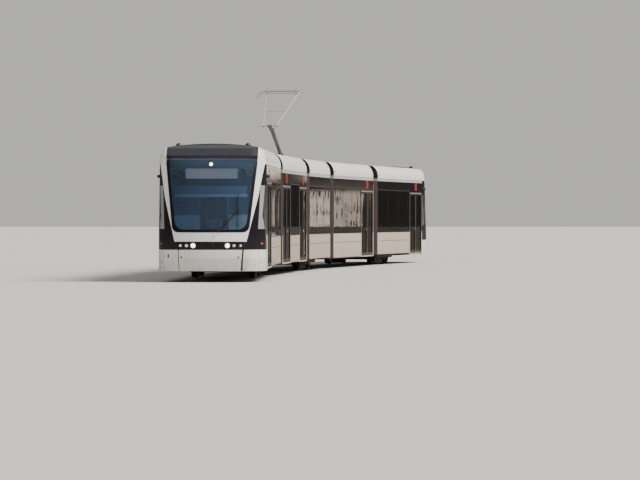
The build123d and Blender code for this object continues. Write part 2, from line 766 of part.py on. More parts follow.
# Seats on the low floor of a hung section: place along the body, facing, side (0 for both)
FLOOR_SEATS = [(-800, 1, 0), (800, -1, 0), (-2500, 1, -1), (-1600, -1, -1)]
POLE_RADIUS = 17
# Grab poles: place along the body, place across it
POLES = {
    "end": [(4500, 500), (4500, -500), (6380, 700), (6380, -700)],
    "middle": [(0, 560), (0, -560)],
    "hung": [(-1100, 500), (-1100, -500), (1100, 500), (1100, -500)],
}


def pole_foot(kind, x):
    """The height of the floor under a pole."""
    if kind == "hung":
        return LOW_FLOOR
    offset = abs(x - BOGIE_CENTRE[kind])
    return BOGIE_FLOOR if offset <= WHEEL_BOX_HALF else LOW_FLOOR


def interior(kind):
    """Seats and poles, and in an end section the partition, desk and driver's seat."""
    shapes = []
    for side in (1, -1):
        if kind == "hung":
            here = [place for place in FLOOR_SEATS if place[2] in (0, side)]
            shapes += [seat_on_plinth(x, side, facing) for x, facing, only in here]
        else:
            shapes += [seat(BOGIE_CENTRE[kind] + x, side, facing, WHEEL_BOX_TOP) for x, facing in BOX_SEATS]
    for x, y in POLES[kind]:
        shapes.append(upright(x, y, pole_foot(kind, x), EAVES, POLE_RADIUS))
    if kind == "end":
        shapes += cab_interior()
    return shapes


PARTITION_X = CAB_BACK + 40
PARTITION = 40
PARTITION_HALF = 1100
PARTITION_TOP = 2600
PARTITION_WINDOW = (350, 1260, 2300)
DESK_BEHIND_TIP = 900
DESK_X = END_LENGTH - DESK_BEHIND_TIP
DESK_HALF = 820
DESK_OUTLINE = [(0, 0), (120, 0), (300, 560), (300, 760), (180, 800), (-120, 720), (-120, 660), (0, 620)]
CHAIR_X = CAB_BACK + 230
CHAIR_BASE = LOW_FLOOR + 420
CHAIR_HALF = 240
CHAIR_POST = (180, 70)
CHAIR_OUTLINE = [(0, 0), (380, 0), (390, 80), (50, 100), (-40, 560), (-75, 760), (-150, 750), (-70, 60)]


def cab_interior():
    """The partition behind the driver, the desk and the driver's seat."""
    half, low, high = PARTITION_WINDOW
    far = PARTITION_X + PARTITION
    partition = block(PARTITION_X, far, -PARTITION_HALF, PARTITION_HALF, LOW_FLOOR, PARTITION_TOP)
    partition -= block(PARTITION_X - 1, far + 1, -half, half, low, high)
    desk = side_profile([(DESK_X + x, LOW_FLOOR + z) for x, z in DESK_OUTLINE], -DESK_HALF, DESK_HALF)
    chair = side_profile([(CHAIR_X + x, CHAIR_BASE + z) for x, z in CHAIR_OUTLINE], -CHAIR_HALF, CHAIR_HALF)
    chair += upright(CHAIR_X + CHAIR_POST[0], 0, LOW_FLOOR, CHAIR_BASE + 1, CHAIR_POST[1])
    return [partition, desk, chair]


# Running gear
RIM_DEPTH = 55
FLANGE_TIP = 18
TREAD_FALL = 3


def wheelset(x):
    """Two flanged wheels, dished on the outside, on their axle."""
    flange = WHEEL_RADIUS + FLANGE_DEPTH
    inner = BACK_TO_BACK / 2
    outer = inner + WHEEL_WIDTH
    web = inner + WHEEL_WEB
    rim = WHEEL_RADIUS - RIM_DEPTH
    points = [
        (0, 0),
        (AXLE_RADIUS, 0),
        (AXLE_RADIUS, inner),
        (flange, inner),
        (flange, inner + FLANGE_TIP),
        (WHEEL_RADIUS, inner + FLANGE_WIDTH),
        (WHEEL_RADIUS - TREAD_FALL, outer),
        (rim, outer),
        (rim, web),
        (AXLE_RADIUS, web),
        (AXLE_RADIUS, AXLE_END),
        (0, AXLE_END),
    ]
    half = make_face(Polyline(*[(x + r, y, WHEEL_RADIUS) for r, y in points], close=True))
    one = revolve(half, Axis((x, 0, WHEEL_RADIUS), (0, 1, 0)))
    return one + mirror(one, about=Plane.XZ)


AXLE_BOX = 200
CROSS_TUBE_RADIUS = 75
CROSS_TUBE_HEIGHT = 210
CROSS_TUBE_OFFSET = 300
BRAKE_WIDTH = 90
BRAKE_TOP = 180
BRAKE_CLEARANCE = 14
SPRING_RADIUS = 110
SPRING_Y = 430


def bogie_frame(centre):
    """Side beams outside the wheels, cross tubes, axle boxes, and track brakes between the wheels."""
    half = WHEELBASE / 2
    box = AXLE_BOX / 2
    beam_z = WHEEL_RADIUS - BOGIE_BEAM_HEIGHT / 2
    beam_end = half - box + 1
    low = beam_z + BOGIE_BEAM_HEIGHT
    shape = None
    for side in (1, -1):
        y0 = side * BOGIE_BEAM_Y - BOGIE_BEAM_WIDTH / 2
        y1 = y0 + BOGIE_BEAM_WIDTH
        beam = block(centre - beam_end, centre + beam_end, y0, y1, beam_z, low)
        for x in (centre - half, centre + half):
            beam += block(x - box, x + box, y0, y1, WHEEL_RADIUS - box, WHEEL_RADIUS + box)
            beam -= crossbar(x, WHEEL_RADIUS, y0 - 1, y1 + 1, AXLE_RADIUS + BEARING_FIT)
        shape = beam if shape is None else shape + beam
    for x in (centre - CROSS_TUBE_OFFSET, centre + CROSS_TUBE_OFFSET):
        shape += crossbar(x, CROSS_TUBE_HEIGHT, -BOGIE_BEAM_Y, BOGIE_BEAM_Y, CROSS_TUBE_RADIUS)
        for side in (1, -1):
            shape += upright(x, side * SPRING_Y, CROSS_TUBE_HEIGHT, BOGIE_FLOOR - FLOOR_PLATE, SPRING_RADIUS)
    reach = TRACK_BRAKE_LENGTH / 2
    for side in (1, -1):
        y0 = side * (BACK_TO_BACK / 2 + WHEEL_WIDTH / 2) - BRAKE_WIDTH / 2
        shape += block(centre - reach, centre + reach, y0, y0 + BRAKE_WIDTH, BRAKE_CLEARANCE, BRAKE_TOP)
    return [shape]


# Pantograph on the middle section
def panto_angle():
    """The rest angles of the lower and the upper arm above the horizontal."""
    lower = math.atan2(PANTO_KNEE[1] - PANTO_FOOT[1], PANTO_KNEE[0] - PANTO_FOOT[0])
    upper = math.atan2(PANTO_HEAD[1] - PANTO_KNEE[1], PANTO_KNEE[0] - PANTO_HEAD[0])
    return lower, upper


def panto_tail():
    """The pin of the coupling rod, on the upper arm's tail beyond the knee."""
    upper = panto_angle()[1]
    return (PANTO_KNEE[0] + PANTO_TAIL * math.cos(upper), PANTO_KNEE[1] - PANTO_TAIL * math.sin(upper))


PANTO_PIN = 18
PANTO_PIN_FIT = 0.5
LOWER_TUBE = 42
UPPER_TUBE = 19
ROD_TUBE = 14
ROD_Y = 120
ROD_PIN = 12
LUG = 16
LUG_RADIUS = 45
PANTO_FRAME_X = (-1050, 250)
PANTO_FRAME_HEIGHT = 420
PANTO_FRAME_BAR = 50
PANTO_CROSS_X = (-1000, 200)
PANTO_CROSS_HALF = 480
INSULATOR_Y = 430
INSULATOR_RADIUS = 55
EAR_Y = 90
ROD_EAR_Y = ROD_Y + 25


def lug(x, z, y, radius):
    """A flat round lug across the tram."""
    return crossbar(x, z, y - LUG / 2, y + LUG / 2, radius)


def pantograph_base():
    """The base frame on four insulators, with lugs for the lower arm and the rod."""
    low = ROOF_TOP + PANTO_FRAME_HEIGHT
    high = low + PANTO_FRAME_BAR
    ear_base = high - PANTO_FRAME_BAR / 2
    shape = block(*PANTO_FRAME_X, -60, 60, low, high)
    for x in PANTO_CROSS_X:
        shape += block(x - 30, x + 30, -PANTO_CROSS_HALF, PANTO_CROSS_HALF, low, high)
        for y in (-INSULATOR_Y, INSULATOR_Y):
            shape += upright(x, y, ROOF_TOP, low, INSULATOR_RADIUS)
    x, z = PANTO_FOOT
    reach = EAR_Y + LUG / 2
    shape += block(x - LUG_RADIUS, x + LUG_RADIUS, -reach, reach, low, high)
    for y in (-EAR_Y, EAR_Y):
        ear = block(x - LUG_RADIUS, x + LUG_RADIUS, y - LUG / 2, y + LUG / 2, ear_base, z)
        shape += ear + lug(x, z, y, LUG_RADIUS)
    shape += crossbar(x, z, -reach, reach, PANTO_PIN)
    x, z = PANTO_ROD_FOOT
    half = LUG_RADIUS - 5
    shape += block(x - half, x + half, 0, ROD_EAR_Y + LUG / 2, low, high)
    ear = block(x - half, x + half, ROD_EAR_Y - LUG / 2, ROD_EAR_Y + LUG / 2, ear_base, z)
    shape += ear + lug(x, z, ROD_EAR_Y, half)
    shape += crossbar(x, z, ROD_Y - 20, ROD_EAR_Y, ROD_PIN)
    return [shape]


FOOT_SLEEVE = (75, 50)
KNEE_SLEEVE = (60, 48)


def pantograph_lower_arm():
    """The lower arm: one tube between a foot sleeve and a knee sleeve."""
    foot, knee = PANTO_FOOT, PANTO_KNEE
    shape = bar((foot[0], 0, foot[1]), (knee[0], 0, knee[1]), LOWER_TUBE)
    for pin, (half, radius) in ((foot, FOOT_SLEEVE), (knee, KNEE_SLEEVE)):
        shape += crossbar(*pin, -half, half, radius)
    for pin in (foot, knee):
        shape -= crossbar(*pin, -EAR_Y, EAR_Y, PANTO_PIN + PANTO_PIN_FIT)
    return [shape]


CROSS_STAY_SHARE = 0.45
CROSS_STAY = 12
KNEE_BOSS = 36
TAIL_Y = ROD_Y + 35
TAIL_RADIUS = 34


def pantograph_upper_arm():
    """The upper arm: two tubes that spread from the knee pin to the apex, braced, with a tail for the rod."""
    knee_pin, head_pin = PANTO_KNEE, PANTO_HEAD
    knee, apex = PANTO_KNEE_WIDTH / 2, PANTO_APEX_WIDTH / 2
    shape = crossbar(*knee_pin, -knee, knee, PANTO_PIN)
    for side in (1, -1):
        start = (knee_pin[0], side * knee, knee_pin[1])
        shape += bar(start, (head_pin[0], side * apex, head_pin[1]), UPPER_TUBE)
        shape += crossbar(*knee_pin, side * knee - 30, side * knee + 30, KNEE_BOSS)
    shape += crossbar(*head_pin, -apex, apex, UPPER_TUBE)
    x, z = (a + CROSS_STAY_SHARE * (b - a) for a, b in zip(knee_pin, head_pin))
    wide = knee + CROSS_STAY_SHARE * (apex - knee)
    shape += crossbar(x, z, -wide, wide, CROSS_STAY)
    tail = panto_tail()
    shape += bar((knee_pin[0], TAIL_Y, knee_pin[1]), (tail[0], TAIL_Y, tail[1]), ROD_TUBE)
    shape += lug(*tail, TAIL_Y, TAIL_RADIUS) + lug(*knee_pin, TAIL_Y, LUG_RADIUS)
    return [shape]


ROD_EYE = 26
ROD_FOOT_EYE = 30


def pantograph_rod():
    """The coupling rod beside the lower arm."""
    foot, tail = PANTO_ROD_FOOT, panto_tail()
    shape = bar((foot[0], ROD_Y, foot[1]), (tail[0], ROD_Y, tail[1]), ROD_TUBE)
    shape += lug(*tail, ROD_Y, ROD_EYE) + lug(*foot, ROD_Y, ROD_FOOT_EYE)
    return [shape - crossbar(*foot, ROD_Y - 30, ROD_Y + 30, ROD_PIN + PANTO_PIN_FIT)]


HORN_DROP = 220
HORN_TUBE = 11
HORN_BEND = 45
HORN_BEND_DROP = 60
STRIP = (36, 28)
HEAD_RISE = 70
CARRIER = 20
CARRIER_IN = 60
CARRIER_BOSS = 34


def pantograph_head():
    """Two contact strips with drooping horns, on a carrier that swings on the apex tube."""
    hx, hz = PANTO_HEAD
    shape = None
    top = hz + HEAD_RISE
    middle = top - STRIP[1] / 2
    half, wide = STRIP_LENGTH / 2, HEAD_WIDTH / 2
    for x in (hx - STRIP_SPACING / 2, hx + STRIP_SPACING / 2):
        strip = block(x - STRIP[0] / 2, x + STRIP[0] / 2, -half, half, top - STRIP[1], top)
        for side in (1, -1):
            bend = (x, side * ((half + wide) / 2 + HORN_BEND), top - HORN_BEND_DROP)
            strip += bar((x, side * (half - 10), middle), bend, HORN_TUBE)
            strip += bar(bend, (x, side * wide, top - HORN_DROP), HORN_TUBE) + Pos(*bend) * Sphere(HORN_TUBE)
        shape = strip if shape is None else shape + strip
    under = top - CARRIER
    for side in (1, -1):
        y = side * (PANTO_APEX_WIDTH / 2 - CARRIER_IN)
        y0, y1 = y - CARRIER / 2, y + CARRIER / 2
        shape += block(hx - STRIP_SPACING / 2, hx + STRIP_SPACING / 2, y0, y1, under - STRIP[1], under)
        shape += block(hx - CARRIER, hx + CARRIER, y0, y1, hz, under) + crossbar(hx, hz, y0, y1, CARRIER_BOSS)
        shape -= crossbar(hx, hz, y0 - CARRIER, y1 + CARRIER, UPPER_TUBE + PANTO_PIN_FIT)
    return [shape]


# Bellows between the bodies, each from one body's end to the next
def gangway_end(pivot, heading, distance):
    """The upright plane across the tram at a distance from a pivot."""
    x, y = along(pivot, heading, distance)
    turn = math.radians(heading)
    across = (-math.sin(turn), math.cos(turn), 0)
    return Plane(origin=(x, y, 0), x_dir=across, z_dir=(math.cos(turn), math.sin(turn), 0))


def bellows(pivot, front_heading, rear_heading):
    """A hood over the sides and top of the gangway, its ends parallel to the two bodies."""
    front = gangway_end(pivot, front_heading, GAP / 2 - SEAT_GAP)
    rear = gangway_end(pivot, rear_heading, -GAP / 2)
    hoods = []
    for inset, drop in ((0, 0), (BELLOWS_WALL, 10)):
        half = BELLOWS_WIDTH / 2 - inset
        low, high = BELLOWS_BOTTOM - drop, BELLOWS_TOP - inset
        hoop = Pos(0, (low + high) / 2) * Rectangle(2 * half, high - low)
        faces = [plane * hoop for plane in (rear, front)]
        hoods.append(loft(faces, ruled=True))
    return hoods[0] - hoods[1]


# Put every node in its place and write it
def placed(shapes, heading, origin):
    """The shapes of one section moved to its place in the tram."""
    spot = Pos(origin[0], origin[1], FLANGE_DEPTH) * Rot(0, 0, heading)
    return [spot * shape for shape in shapes]


def solids_of(shapes):
    """Every solid in a list of shapes, as one flat list."""
    found = []
    for shape in shapes:
        found += list(shape.solids())
    return found


def build():
    """All nodes by name."""
    kinds = {}
    for kind in BODY_SPAN:
        kinds[kind] = {
            "floor": floor(kind),
            "walls": walls(kind),
            "roof": roof(kind),
            "roof_housings": fairings(kind) + roof_gear(kind),
            "glass": side_glass(kind),
            "interior": interior(kind),
        }
        if kind != "middle":
            kinds[kind]["doors"] = doors(kind)
    cab = cab_pieces()
    kinds["end"]["glass"] += cab.pop("cab_glass")
    kinds["end"]["cab_fittings"] = cab_fittings() + cab.pop("lamps")
    kinds["end"].update(cab)
    nodes = {}
    wheelset_number = 0
    for number, kind, heading, origin in SECTIONS:
        for name, shapes in kinds[kind].items():
            nodes[f"s{number}_{name}"] = placed(shapes, heading, origin)
        if kind in BOGIE_CENTRE:
            centre = BOGIE_CENTRE[kind]
            nodes[f"s{number}_bogie_frame"] = placed(bogie_frame(centre), heading, origin)
            for end in (1, -1):
                wheelset_number += 1
                shapes = [wheelset(centre + end * WHEELBASE / 2)]
                nodes[f"wheelset_{wheelset_number}"] = placed(shapes, heading, origin)
    for name, maker in (
        ("pantograph_base", pantograph_base),
        ("pantograph_lower_arm", pantograph_lower_arm),
        ("pantograph_upper_arm", pantograph_upper_arm),
        ("pantograph_rod", pantograph_rod),
        ("pantograph_head", pantograph_head),
    ):
        nodes[name] = placed(maker(), 0, (0, 0))
    gangways = [
        ("bellows_1_2", PIVOT_1_2, HEADING_1, HEADING_2),
        ("bellows_2_3", PIVOT_2_3, HEADING_2, 0),
        ("bellows_3_4", PIVOT_3_4, 0, HEADING_4),
        ("bellows_4_5", PIVOT_4_5, HEADING_4, HEADING_5),
    ]
    for name, pivot, front_heading, rear_heading in gangways:
        nodes[name] = [Pos(0, 0, FLANGE_DEPTH) * bellows(pivot, front_heading, rear_heading)]
    return nodes


os.makedirs("parts", exist_ok=True)
for node, shapes in build().items():
    export_step(Compound(children=solids_of(shapes)), f"parts/{node}.step")
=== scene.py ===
"""The looks of a five-section low-floor tram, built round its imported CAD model.

Everything is in metres in the CAD model's frame: +X towards the leading cab, +Y to the left, +Z up.
Pieces are laid out in their own section's frame, then turned and moved to where it stands on the curve.
"""
import json
import math

import bmesh
import bpy
from mathutils import Matrix, Vector
from mathutils.bvhtree import BVHTree

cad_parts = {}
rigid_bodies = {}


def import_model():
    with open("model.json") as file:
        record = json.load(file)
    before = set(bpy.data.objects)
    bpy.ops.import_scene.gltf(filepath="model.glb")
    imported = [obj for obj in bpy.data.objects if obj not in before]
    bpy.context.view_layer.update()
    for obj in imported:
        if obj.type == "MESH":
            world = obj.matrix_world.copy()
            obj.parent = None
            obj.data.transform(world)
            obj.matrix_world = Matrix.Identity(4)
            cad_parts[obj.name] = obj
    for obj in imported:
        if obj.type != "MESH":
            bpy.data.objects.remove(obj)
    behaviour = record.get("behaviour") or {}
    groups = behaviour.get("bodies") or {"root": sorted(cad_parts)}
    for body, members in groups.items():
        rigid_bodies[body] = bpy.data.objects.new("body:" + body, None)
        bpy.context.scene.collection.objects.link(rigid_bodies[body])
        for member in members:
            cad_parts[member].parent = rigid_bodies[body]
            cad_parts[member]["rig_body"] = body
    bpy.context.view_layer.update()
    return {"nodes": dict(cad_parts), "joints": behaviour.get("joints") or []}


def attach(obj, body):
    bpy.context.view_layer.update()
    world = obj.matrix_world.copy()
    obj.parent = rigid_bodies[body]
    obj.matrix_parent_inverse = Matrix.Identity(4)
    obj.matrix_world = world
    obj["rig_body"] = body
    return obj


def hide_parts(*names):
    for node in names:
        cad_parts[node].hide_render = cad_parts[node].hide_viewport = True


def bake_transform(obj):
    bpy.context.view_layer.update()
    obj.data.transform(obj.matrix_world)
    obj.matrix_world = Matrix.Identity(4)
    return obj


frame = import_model()

bl_info = {
    "name": "Low-floor tram",
    "version": (1, 0, 0),
    "blender": (4, 5, 0),
    "location": "3D View > Sidebar > Tram",
    "description": "Builds the finish and the fine parts of an articulated tram round its CAD frame",
    "category": "Object",
}

# Lengths of the CAD model that the pieces are laid out by
FLANGE = 0.026
GAP = 0.64
CAB_LENGTH = 1.35
DOORWAY = 1.82
BOGIE_BAY = 4.35
HANGING_BAY = 1.94
MIDDLE_BODY = 3.82
HALF_WIDTH = 1.325
WALL = 0.07
SKIRT_TOP = 0.79
BELT = 1.075
WINDOW_TOP = 2.48
DOOR_BOTTOM = 0.29
DOOR_HEAD = 2.40
EAVES = 2.784
ROOF_TOP = 2.875
FAIRING_TOP = 3.30
LOW_FLOOR = 0.36
BOGIE_FLOOR = 0.44
WHEEL_BOX_TOP = 0.70
DOOR_JAMB = 0.06
PANE_LENGTH = 1.45
WINDOW_RIM = 0.055
WHEEL_RADIUS = 0.30
WHEELBASE = 1.85
END_LENGTH = GAP / 2 + BOGIE_BAY + DOORWAY + CAB_LENGTH
HUNG_LENGTH = GAP + 2 * DOORWAY + HANGING_BAY
CAB_BACK = END_LENGTH - CAB_LENGTH
BODY_SPAN = {
    "end": (GAP / 2, CAB_BACK),
    "hung": (GAP / 2 - HUNG_LENGTH / 2, HUNG_LENGTH / 2 - GAP / 2),
    "middle": (-MIDDLE_BODY / 2, MIDDLE_BODY / 2),
}
DOORWAYS = {
    ("end", 1): [CAB_BACK - DOORWAY],
    ("end", -1): [CAB_BACK - DOORWAY],
    ("hung", 1): [-HANGING_BAY / 2 - DOORWAY, HANGING_BAY / 2],
    ("hung", -1): [HANGING_BAY / 2],
    ("middle", 1): [],
    ("middle", -1): [],
}
BOGIE_CENTRE = {"end": GAP / 2 + BOGIE_BAY / 2, "middle": 0.0}
KINDS = {1: "end", 2: "hung", 3: "middle", 4: "hung", 5: "end"}
HEADINGS = {1: 7.2, 2: 2.9, 3: 0.0, 4: 175.5, 5: 173.4}
PIVOTS = {joint["name"]: Vector(joint["pos_m"]) for joint in frame["joints"]}
UP = Vector((0, 0, 1))
ALONG = Vector((1, 0, 0))
AHEAD = Vector((-1, 0, 0))


def section_places():
    """Each section's own frame, as a matrix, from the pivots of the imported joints."""
    hinges = [PIVOTS[f"articulation_{n}_{n + 1}"] for n in range(1, 5)]
    pairs = ((hinges[1], hinges[0]), (hinges[1], hinges[2]), (hinges[2], hinges[3]))
    middles = [(a + b) / 2 for a, b in pairs]
    places = {}
    for number, origin in enumerate([hinges[0], *middles, hinges[3]], 1):
        turn = Matrix.Rotation(math.radians(HEADINGS[number]), 4, "Z")
        places[number] = Matrix.Translation((origin.x, origin.y, FLANGE)) @ turn
    return places


PLACES = section_places()


# Mesh building
BOX_FACES = [(0, 1, 3, 2), (4, 6, 7, 5), (0, 4, 5, 1), (2, 3, 7, 6), (0, 2, 6, 4), (1, 5, 7, 3)]
SQUARE = ((0, 0), (1, 0), (1, 1), (0, 1))


def faces_between(rows, wide, closed=True):
    """The faces between rows of points, each row closed on itself or open."""
    faces = []
    for i in range(rows - 1):
        for k in range(wide if closed else wide - 1):
            a, b = i * wide + k, i * wide + (k + 1) % wide
            faces.append((a, b, b + wide, a + wide))
    return faces


class Shape:
    """Collects faces in one section's frame, then becomes an object that rides on that section."""

    def __init__(self):
        self.points = []
        self.faces = []

    def add(self, points, faces):
        """Takes points and faces that count from the first of those points."""
        start = len(self.points)
        self.points += [Vector(point) for point in points]
        self.faces += [[start + index for index in face] for face in faces]

    def box(self, x0, x1, y0, y1, z0, z1, edge=0.0):
        """A box, with its twelve edges cut off at 45 degrees if an edge is given."""
        if edge <= 0:
            corners = [(x, y, z) for x in (x0, x1) for y in (y0, y1) for z in (z0, z1)]
            self.add(corners, BOX_FACES)
            return
        limits = ((x0, x1), (y0, y1), (z0, z1))
        points, faces, index = [], [], {}
        for corner in range(8):
            signs = [(corner >> bit) & 1 for bit in range(3)]
            for axis in range(3):
                point = [limits[k][signs[k]] for k in range(3)]
                for k in range(3):
                    if k != axis:
                        point[k] += -edge if signs[k] else edge
                index[tuple(signs), axis] = len(points)
                points.append(point)
        for axis in range(3):
            a, b = (axis + 1) % 3, (axis + 2) % 3

            def corner_signs(sign, sa, sb):
                """A corner's place on the axes, from its place along this one and the two after it."""
                signs = {axis: sign, a: sa, b: sb}
                return signs[0], signs[1], signs[2]

            for sign in (0, 1):
                ring = [index[corner_signs(sign, sa, sb), axis] for sa, sb in SQUARE]
                faces.append(ring if sign else ring[::-1])
            for sa, sb in SQUARE:
                near, far = corner_signs(0, sa, sb), corner_signs(1, sa, sb)
                strip = [index[near, a], index[far, a], index[far, b], index[near, b]]
                faces.append(strip if sa == sb else strip[::-1])
        for corner in range(8):
            signs = tuple((corner >> bit) & 1 for bit in range(3))
            ring = [index[signs, axis] for axis in range(3)]
            faces.append(ring if sum(signs) % 2 else ring[::-1])
        self.add(points, faces)

    def block(self, x, dx, y, dy, z0, z1, edge=0.0):
        """A box round a place, from its half sizes and two heights."""
        self.box(x - dx, x + dx, y - dy, y + dy, z0, z1, edge)

    def tube(self, path, radius, sides=12, caps=True):
        """A round tube along a path of points, mitred at its bends."""
        path = [Vector(point) for point in path]
        points = []
        normal = None
        for i, here in enumerate(path):
            along = (path[min(i + 1, len(path) - 1)] - path[max(i - 1, 0)]).normalized()
            if normal is None:
                normal = along.orthogonal().normalized()
            normal = (normal - along * normal.dot(along)).normalized()
            other = along.cross(normal)
            reach = radius[i] if isinstance(radius, list) else radius
            for k in range(sides):
                turn = 2 * math.pi * k / sides
                points.append(here + (normal * math.cos(turn) + other * math.sin(turn)) * reach)
        faces = faces_between(len(path), sides)
        if caps:
            last = len(points) - sides
            faces += [list(range(sides))[::-1], [last + k for k in range(sides)]]
        self.add(points, faces)

    def lathe(self, centre, axis, profile, sides=32, ring=False):
        """A turned shape from (radius, reach along the axis) pairs, with end caps or closed into a ring."""
        centre, axis = Vector(centre), Vector(axis).normalized()
        first = axis.orthogonal().normalized()
        second = axis.cross(first)
        points = []
        for radius, reach in profile:
            for k in range(sides):
                turn = 2 * math.pi * k / sides
                spoke = first * math.cos(turn) + second * math.sin(turn)
                points.append(centre + axis * reach + spoke * max(radius, 1e-5))
        faces = faces_between(len(profile), sides)
        last = len(points) - sides
        if ring:
            faces += [(last + k, last + (k + 1) % sides, (k + 1) % sides, k) for k in range(sides)]
        else:
            faces += [list(range(sides))[::-1], [last + k for k in range(sides)]]
        self.add(points, faces)

    def grid(self, rows, closed=False):
        """A surface through rows of points, each row closed on itself if asked."""
        self.add([point for row in rows for point in row], faces_between(len(rows), len(rows[0]), closed))

    def slab(self, top, bottom):
        """A thin closed sheet between two grids of rows of points."""
        count, wide, high = len(self.points), len(top[0]), len(top)
        self.grid(top)
        self.grid([row[::-1] for row in bottom])
        rim = [(0, k) for k in range(wide)] + [(i, wide - 1) for i in range(1, high)]
        rim += [(high - 1, k) for k in range(wide - 2, -1, -1)] + [(i, 0) for i in range(high - 2, 0, -1)]
        over = [count + i * wide + k for i, k in rim]
        under = [count + wide * high + i * wide + wide - 1 - k for i, k in rim]
        for k in range(len(rim)):
            after = (k + 1) % len(rim)
            self.faces.append([over[k], over[after], under[after], under[k]])

    def patch(self, tree, start, direction, across, half, height, count):
        """A raised rounded patch that hugs a surface, found by rays from a start over two half sizes."""
        top, bottom = [], []
        for i in range(count + 1):
            v = 2 * i / count - 1
            top.append([])
            bottom.append([])
            for k in range(count + 1):
                u = 2 * k / count - 1
                origin = Vector(start) + Vector(across) * u * half[0] + UP * v * half[1]
                spot, normal = cast(tree, origin, direction)
                rise = height * (1 - u**4) * (1 - v**4)
                top[-1].append(spot + normal * rise)
                bottom[-1].append(spot - normal * 0.002)
        self.slab(top, bottom)

    def prism(self, outline, span, plane="xz"):
        """An outline given thickness: (x, z) points across the tram, or (y, z) points along it."""
        if plane == "xz":
            points = [(a, c, b) for c in span for a, b in outline]
        else:
            points = [(c, a, b) for c in span for a, b in outline]
        count = len(outline)
        faces = [list(range(count)), list(range(2 * count - 1, count - 1, -1))]
        faces += [(k, (k + 1) % count, count + (k + 1) % count, count + k) for k in range(count)]
        self.add(points, faces)

    def make(self, name, section, finish, smooth=0.6, bevel=0.0, body=None):
        """The finished object, in place, with its material, riding on a body."""
        mesh = bpy.data.meshes.new(name)
        place = PLACES[section] if section else Matrix.Identity(4)
        mesh.from_pydata([place @ point for point in self.points], [], self.faces)
        mesh.validate()
        obj = bpy.data.objects.new(name, mesh)
        bpy.context.scene.collection.objects.link(obj)
        bpy.context.view_layer.objects.active = obj
        recalculate(mesh)
        mesh.materials.append(MATERIALS[finish])
        if bevel:
            rounding = obj.modifiers.new("rounding", "BEVEL")
            rounding.width = bevel
            rounding.segments = 2
            rounding.limit_method = "ANGLE"
            rounding.angle_limit = math.radians(50)
        mesh.shade_smooth()
        mesh.set_sharp_from_angle(angle=smooth)
        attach(obj, body or f"section_{section}")
        return obj


def shapes(count):
    """That many empty shapes."""
    return [Shape() for _ in range(count)]


def make_all(prefix, section, *rows, replaces=None, **how):
    """Makes the filled ones of some (shape, name, finish) rows, and hides the CAD node that they stand in
    for.
    """
    pieces = []
    for shape, name, finish in rows:
        if shape.points:
            pieces.append(shape.make(prefix + name, section, finish, **how))
    if replaces:
        for piece in pieces:
            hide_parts(replaces)


def skin(number, *names):
    """A search tree over some CAD nodes of a section, in that section's own frame."""
    back = PLACES[number].inverted()
    points, faces = [], []
    for name in names:
        mesh = frame["nodes"][f"s{number}_{name}"].data
        start = len(points)
        points += [back @ vertex.co for vertex in mesh.vertices]
        faces += [[start + index for index in face.vertices] for face in mesh.polygons]
    return BVHTree.FromPolygons(points, faces)


def cast(tree, start, direction):
    """Where a ray first meets a surface, and the surface's normal there, facing back along the ray."""
    spot, normal, _, _ = tree.ray_cast(Vector(start), Vector(direction).normalized())
    if spot is None:
        raise ValueError(f"no surface ahead of {tuple(start)}")
    return spot, (-normal if normal.dot(Vector(direction)) > 0 else normal)


def recalculate(mesh):
    """Turns all faces outwards."""
    work = bmesh.new()
    work.from_mesh(mesh)
    bmesh.ops.recalc_face_normals(work, faces=work.faces)
    work.to_mesh(mesh)
    work.free()


def arc(centre, radius, count, axis="z", phase=0.0):
    """Evenly turned points round an upward (z) or sideways (y) axis, from a centre."""
    x, y, z = centre
    turns = [phase + 2 * math.pi * k / count for k in range(count)]
    if axis == "z":
        return [(x + radius * math.cos(a), y + radius * math.sin(a), z) for a in turns]
    return [(x + radius * math.cos(a), y, z + radius * math.sin(a)) for a in turns]


# Shader nodes
def feed(tree, socket, term):
    """Gives a socket its value: another socket to join, a colour or a number."""
    if hasattr(term, "node"):
        tree.links.new(term, socket)
    elif isinstance(term, tuple) and len(term) == 3 and len(socket.default_value) == 4:
        socket.default_value = (*term, 1)
    else:
        socket.default_value = term


def group_io(name, inputs, outputs):
    """A new shader node group with named sockets: inputs as (name, type, default), outputs as names."""
    group = bpy.data.node_groups.new(name, "ShaderNodeTree")
    for label, kind, default in inputs:
        socket = group.interface.new_socket(label, in_out="INPUT", socket_type=kind)
        socket.default_value = default
    for label in outputs:
        group.interface.new_socket(label, in_out="OUTPUT", socket_type="NodeSocketFloat")
    return group, group.nodes.new("NodeGroupInput").outputs, group.nodes.new("NodeGroupOutput").inputs


def math_node(tree, operation, *terms, clamp=False):
    """A math node; each term is a socket or a number."""
    node = tree.nodes.new("ShaderNodeMath")
    node.operation = operation
    node.use_clamp = clamp
    for socket, term in zip(node.inputs, terms):
        feed(tree, socket, term)
    return node.outputs[0]


def times(tree, *terms):
    """The product of some sockets and numbers."""
    product = terms[0]
    for term in terms[1:]:
        product = math_node(tree, "MULTIPLY", product, term)
    return product


def minus(tree, first, second):
    """A difference."""
    return math_node(tree, "SUBTRACT", first, second)


def size_of(tree, value):
    """A value without its sign."""
    return math_node(tree, "ABSOLUTE", value)


def above(tree, value, limit):
    """1 where a value is above a limit, and 0 below it."""
    return math_node(tree, "GREATER_THAN", value, limit)


def noise_node(tree, vector, scale, detail=3.0):
    """Fractal noise over a vector socket, from 0 to 1."""
    node = tree.nodes.new("ShaderNodeTexNoise")
    for label, term in (("Detail", detail), ("Roughness", 0.55), ("Scale", scale), ("Vector", vector)):
        feed(tree, node.inputs[label], term)
    return node.outputs["Fac"]


